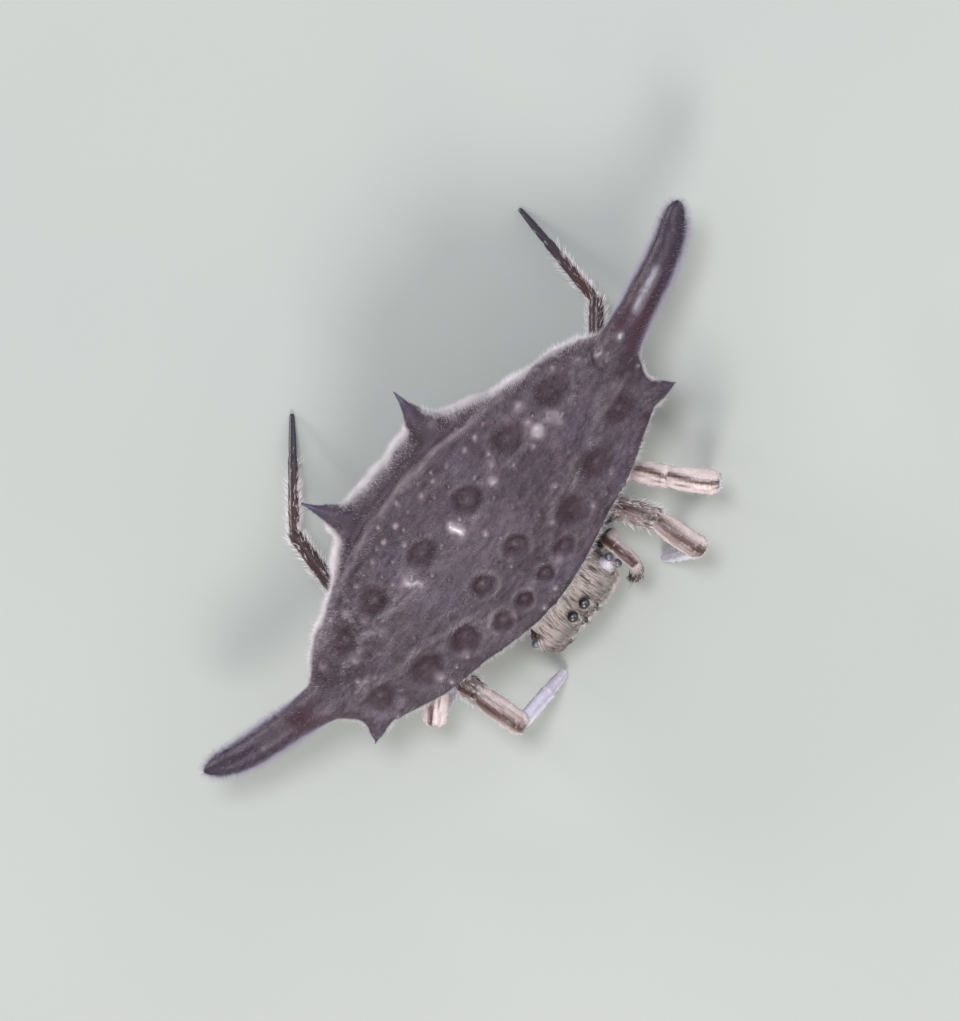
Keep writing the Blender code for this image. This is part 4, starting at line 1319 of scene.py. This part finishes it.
# The coats
def coat_abdomen(surface, normals, material, lilac):
    """Velvet on the shell, a fringe along its edges whitened as painted rim light, and fuzz on the
    long spines, whiter on their flanks as painted rim light.
    """
    masks = surface.masks
    bare = 1 - 0.9 * rise(masks["dish"], 0.25, 0.95)
    bare = bare * fall(masks["gloss"], 0.35, 0.7)
    out = np.abs(masks["across"])
    on_spine = rise(out, 6.0, 6.7)
    shell = bare * (1 - on_spine) * (1 - 0.8 * masks["behind"] * (1 - masks["edge"]))
    ahead = to_body(surface.points)[:, 1]

    def velvet_length(at):
        return 0.10 + 0.05 * at["arc"] + 0.06 * at["edge"]

    def velvet_streak(roots, size):
        return fractal(to_body(roots) * (0.30, 1.0, 1.0), size, 3)

    def velvet_white(at, roots):
        streak = velvet_streak(roots, 0.32)
        # White hair at the outline is painted rim light
        return 0.30 * rise(streak, 0.0, 0.5) + 0.14 * at["arc"] + 0.6 * at["edge"]

    def velvet_dark(at, roots):
        streak = 0.65 * rise(velvet_streak(roots, 0.12), -0.05, 0.30) * (1 - at["edge"])
        return np.maximum(streak, 0.6 * rise(at["dish"], 0.2, 0.9))

    front, rear = ahead > VELVET_SPLITS[0], ahead <= VELVET_SPLITS[1]
    for label, keep in (("front", front), ("middle", ~front & ~rear), ("rear", rear)):
        weight = shell * keep * (1 + 1.2 * masks["arc"] + 0.8 * masks["edge"])
        grow("abdomen_velvet_" + label, surface, normals, material, FINE_COUNT,
             weight, velvet_length, width=0.006, lift=50, spread=0.14, fine=True,
             dark=velvet_dark, white=velvet_white)
    # The fringe's hairs are whitened at the outline as painted rim light
    fringe = masks["edge"] * (1 - on_spine) * (1 - 0.7 * masks["thorn"]) + 0.001
    grow("abdomen_fringe", surface, normals, material, FRINGE_COUNT, fringe * bare,
         lambda at: 0.09 + 0.24 * at["edge"], width=0.007, lift=55, spread=0.45, droop=0.05,
         fine=True, white=lambda at, roots: 0.35 + 0.65 * at["edge"])

    def fuzz_length(at):
        return (0.08 + 0.19 * rise(np.abs(at["across"]), 6.4, 7.6)) * (0.5 + 0.5 * at["flank"])

    # The fuzz is whiter on the spines' flanks: painted rim light
    fuzz = np.maximum(on_spine, 0.5 * masks["thorn"]) * (0.06 + 0.94 * masks["flank"])
    grow("spine_fuzz", surface, normals, lilac, FUZZ_COUNT, fuzz, fuzz_length,
         width=0.007, lift=78, spread=0.5, droop=0.0, fine=True,
         white=lambda at, roots: 0.02 + 0.18 * at["flank"])


def coat_body(skin, normals, material, leg_material):
    """Combed locks on the head, a brow, and hair in tufts along the legs and palps."""
    masks = skin.masks
    body = to_body(skin.points)
    up = normals @ turn_to_world((0.0, 0.0, 1.0))
    on_head = masks["head"] * rise(body[:, 1], 0.8, 2.2) * rise(up, -0.9, -0.3)
    on_head = on_head * (1 + 1.5 * masks["eyes"]) * (1 - 0.8 * masks["bare"]) + 1e-6

    def head_dark(at, roots):
        place = to_body(roots)
        streak = fractal(place * (1.0, 0.11, 1.0), 0.044, 2)
        return rise(streak, 0.11, 0.28) * (0.84 - 0.2 * rise(place[:, 1], 3.95, 4.25))

    def head_white(at, roots):
        return 0.30 + 0.2 * rise(to_body(roots)[:, 1], 3.75, 4.2)

    def head_length(at):
        return 0.36 - 0.18 * np.maximum(rise(at["eyes"], 0.4, 1.0), at["bare"])

    top = body[:, 1] > HEAD_SPLIT
    for label, keep, count in (("top", top, FINE_COUNT), ("back", ~top, HEAD_BACK_COUNT)):
        grow("head_coat_" + label, skin, normals, material, count,
             on_head * keep, head_length, width=0.010, lift=15, spread=0.09, fine=True,
             apart=0.055, pull=0.6, dark=head_dark, white=head_white)
    brow = np.zeros(len(body))
    for side in (1, -1):
        brow = np.maximum(brow, around(body, (0.24 * side, 4.12, -2.00), 0.12, 0.24)
                          * masks["head"])
    down = np.tile(turn_to_world((0.0, 0.75, -0.65)), (len(body), 1))
    combed = Surface(skin.points, skin.faces, skin.uv, down, masks)
    grow("brow_hair", combed, normals, material, BROW_COUNT, brow + TINY,
         length=0.27, width=0.010, lift=22, spread=0.2, fine=True, dark=head_dark, white=0.3)
    high = skin.points[:, 2]
    off_floor = rise(high, 0.15, 0.35)
    thick = fall(masks["dusk"], 0.45, 0.75)
    on_legs = (1 - masks["head"]) * off_floor * (0.5 + 0.5 * masks["pale"]) * (0.35 + 0.65 * thick)
    on_legs *= 1 - 0.9 * rise(masks["dusk"], 0.85, 0.95)

    def leg_dark(at, roots):
        stripe = fall(at["pale"], 0.34, 0.68)
        dusky = rise(at["dusk"] + RANDOM.normal(0, 0.10, len(roots)), 0.30, 0.50)
        streaky = rise(fractal(roots, 0.055, 1), 0.16, 0.04)
        return np.maximum(stripe * 0.95, dusky * streaky)

    def leg_white(at, roots):
        return 0.45 + 0.45 * np.maximum(at["cool"], rise(at["dusk"], 0.3, 0.5))

    left = skin.points[:, 0] > 0
    for label, keep in (("left", left), ("right", ~left)):
        grow("leg_coat_" + label, skin, normals, leg_material, BENT_COUNT,
             on_legs * keep, lambda at: 0.14 + 0.10 * rise(at["dusk"], 0.3, 0.5), width=0.011,
             lift=13, spread=0.16, apart=0.06, pull=0.3, dark=leg_dark, white=leg_white)
    flank = bell(normals[:, 2], 0.0, 0.45)
    palps = (1 - masks["head"]) * (np.abs(body[:, 0]) > 0.9) * (np.abs(body[:, 0]) < 2.15)
    palps = palps * (body[:, 1] > 3.15) * (body[:, 1] < 4.75) * off_floor
    fringe = (1 - masks["head"]) * (1 - palps) * (0.15 + 0.85 * (1 - thick)) * off_floor * flank
    fringe = fringe * fall(masks["dusk"], 0.82, 0.95)
    hind = rise(masks["dusk"], 0.25, 0.5)
    grow("leg_bristles", skin, normals, leg_material, BRISTLE_COUNT, fringe,
         lambda at: 0.13 + 0.19 * rise(at["dusk"], 0.25, 0.5), width=0.011, lift=42,
         spread=0.2, droop=0.1, white=0.9)
    streaks = (1 - masks["head"]) * off_floor * hind
    streaks = streaks * (1 - 0.8 * rise(masks["dusk"], 0.8, 0.9))
    grow("leg_streaks", skin, normals, leg_material, STREAK_COUNT, streaks,
         length=0.22, width=0.018, lift=7, spread=0.10, droop=0.1, white=0.2)
    grow("palp_coat", skin, normals, leg_material, PALP_COUNT, palps + TINY,
         length=0.17, width=0.010, lift=16, spread=0.14, fine=True, apart=0.06, pull=0.4,
         dark=leg_dark, white=0.4)
    brush = np.zeros(len(body))
    for palp, side, share in ((PALP_LEFT, 1, 1.0), (PALP_RIGHT, -1, 0.25)):
        end = np.array(palp[-1]) * (side, 1.0, 1.0)
        brush = np.maximum(brush, share * around(body, end, 0.25, 0.55))
    grow("palp_brush", skin, normals, material, BRUSH_COUNT, brush * off_floor + TINY,
         length=0.42, width=0.012, lift=20, spread=0.15, droop=0.15, dark=0.95)


# Photo framing: the frame's middle and scale in the photo's plane, and the camera's lean
FRAME_WIDTH, FRAME_HEIGHT = 960, 1021
MM_PER_PIXEL = 12 / 465
DISC_PIXEL = (447.2, 527.9)
CAMERA_LEAN = math.radians(17.0)
CAMERA_ROLL = math.radians(50.3)
CAMERA_DISTANCE = 400.0
SENSOR = 36.0
FLOOR_REACH = 900
LIGHT_AIM = (0, 0, 0.003)


def make_camera():
    """Looks down on the disc as the photo does, leaning to the spider's left."""
    across, forward, up = (unit(turn_to_world(axis)) for axis in np.eye(3))
    towards = math.sin(CAMERA_LEAN) * across + math.cos(CAMERA_LEAN) * up
    sideways = math.cos(CAMERA_LEAN) * across - math.sin(CAMERA_LEAN) * up
    right = math.cos(CAMERA_ROLL) * sideways + math.sin(CAMERA_ROLL) * forward
    down = -math.sin(CAMERA_ROLL) * sideways + math.cos(CAMERA_ROLL) * forward
    middle = to_world((0.0, 0.0, 0.0))
    middle = middle + right * (FRAME_WIDTH / 2 - DISC_PIXEL[0]) * MM_PER_PIXEL
    middle = middle + down * (FRAME_HEIGHT / 2 - DISC_PIXEL[1]) * MM_PER_PIXEL
    data = bpy.data.cameras.new("camera")
    data.sensor_width = SENSOR
    data.lens = SENSOR * CAMERA_DISTANCE / (FRAME_HEIGHT * MM_PER_PIXEL)
    data.clip_start = 0.01
    data.clip_end = 10.0
    camera = add_object("camera", data)
    matrix = Matrix(np.stack([right, -down, towards], 1).tolist()).to_4x4()
    matrix.translation = Vector(middle + towards * CAMERA_DISTANCE) * MM
    camera.matrix_world = matrix
    bpy.context.scene.camera = camera


def make_stage():
    """A plain pale floor."""
    corners = [(FLOOR_REACH * x, FLOOR_REACH * y, 0) for x, y in
               ((-1, -1), (1, -1), (1, 1), (-1, 1))]
    mesh = new_mesh("floor", corners, [(0, 1, 2, 3)], smooth=False)
    floor = add_object("floor", mesh)
    material, tree, shader = node_material("floor")
    colour = mixed(tree, ranged(tree, noise_of(tree, 30.0), 0.3, 0.7), FLOOR_DARK, FLOOR_LIGHT)
    feed(tree, shader, {"Base Color": colour, "Roughness": 0.8})
    mesh.materials.append(material)


def add_light(name, place, size, watts, colour):
    """A round soft light that shines on the middle of the spider."""
    data = bpy.data.lights.new(name, "AREA")
    data.shape = "DISK"
    data.size = size
    data.energy = watts
    data.color = colour
    light = add_object(name, data)
    light.location = place
    aim = Vector(LIGHT_AIM) - Vector(place)
    light.rotation_mode = "QUATERNION"
    light.rotation_quaternion = aim.to_track_quat("-Z", "Y")


def make_lights():
    """A plain soft studio: a pale sky and four round lights."""
    world = bpy.data.worlds.new("world")
    bpy.context.scene.world = world
    world.use_nodes = True
    background = world.node_tree.nodes["Background"]
    background.inputs["Color"].default_value = (0.92, 0.95, 1.0, 1.0)
    background.inputs["Strength"].default_value = 0.60
    add_light("key", (-0.17, -0.24, 0.26), 0.16, 1.1, (1.0, 0.98, 0.96))
    add_light("sky", (0.19, 0.05, 0.586), 0.18, 2.0, (0.90, 0.93, 1.0))
    add_light("fill", (0.34, -0.10, 0.14), 0.40, 0.6, (0.92, 0.95, 1.0))
    add_light("rim", (-0.10, 0.36, 0.10), 0.12, 0.7, (1.0, 0.97, 0.96))
    bpy.context.scene.view_settings.view_transform = "Standard"


def main():
    make_camera()
    make_stage()
    make_lights()
    velvet = hair_material("velvet_hair", VELVET_ROOT, HAIR_GREY, HAIR_DARK, HAIR_WHITE)
    lilac = hair_material("lilac_hair", LILAC_ROOT, HAIR_LILAC, HAIR_DARK, HAIR_WHITE)
    cream = hair_material("cream_hair", CREAM_ROOT, HAIR_CREAM, HAIR_DARK, HAIR_WHITE)
    pink = hair_material("leg_hair", LEG_HAIR_ROOT, HAIR_CREAM, HAIR_RUST, HAIR_WHITE)
    abdomen, abdomen_normals = make_abdomen(shell_material())
    skin, skin_normals = make_body(body_material())
    make_eyes(eye_material("eye_gloss", EYE_BLACK, EYE_BROWN),
              eye_material("eye_pearl", PEARL_DARK, PEARL_LIGHT))
    make_jaws(horn_material("jaw_horn", HORN_DARK, HORN_LIGHT, 0.3), cream)
    make_spinnerets(horn_material("spinneret_skin", SPINNERET_DARK, SPINNERET_LIGHT, 0.45))
    coat_abdomen(abdomen, abdomen_normals, velvet, lilac)
    coat_body(skin, skin_normals, cream, pink)


main()
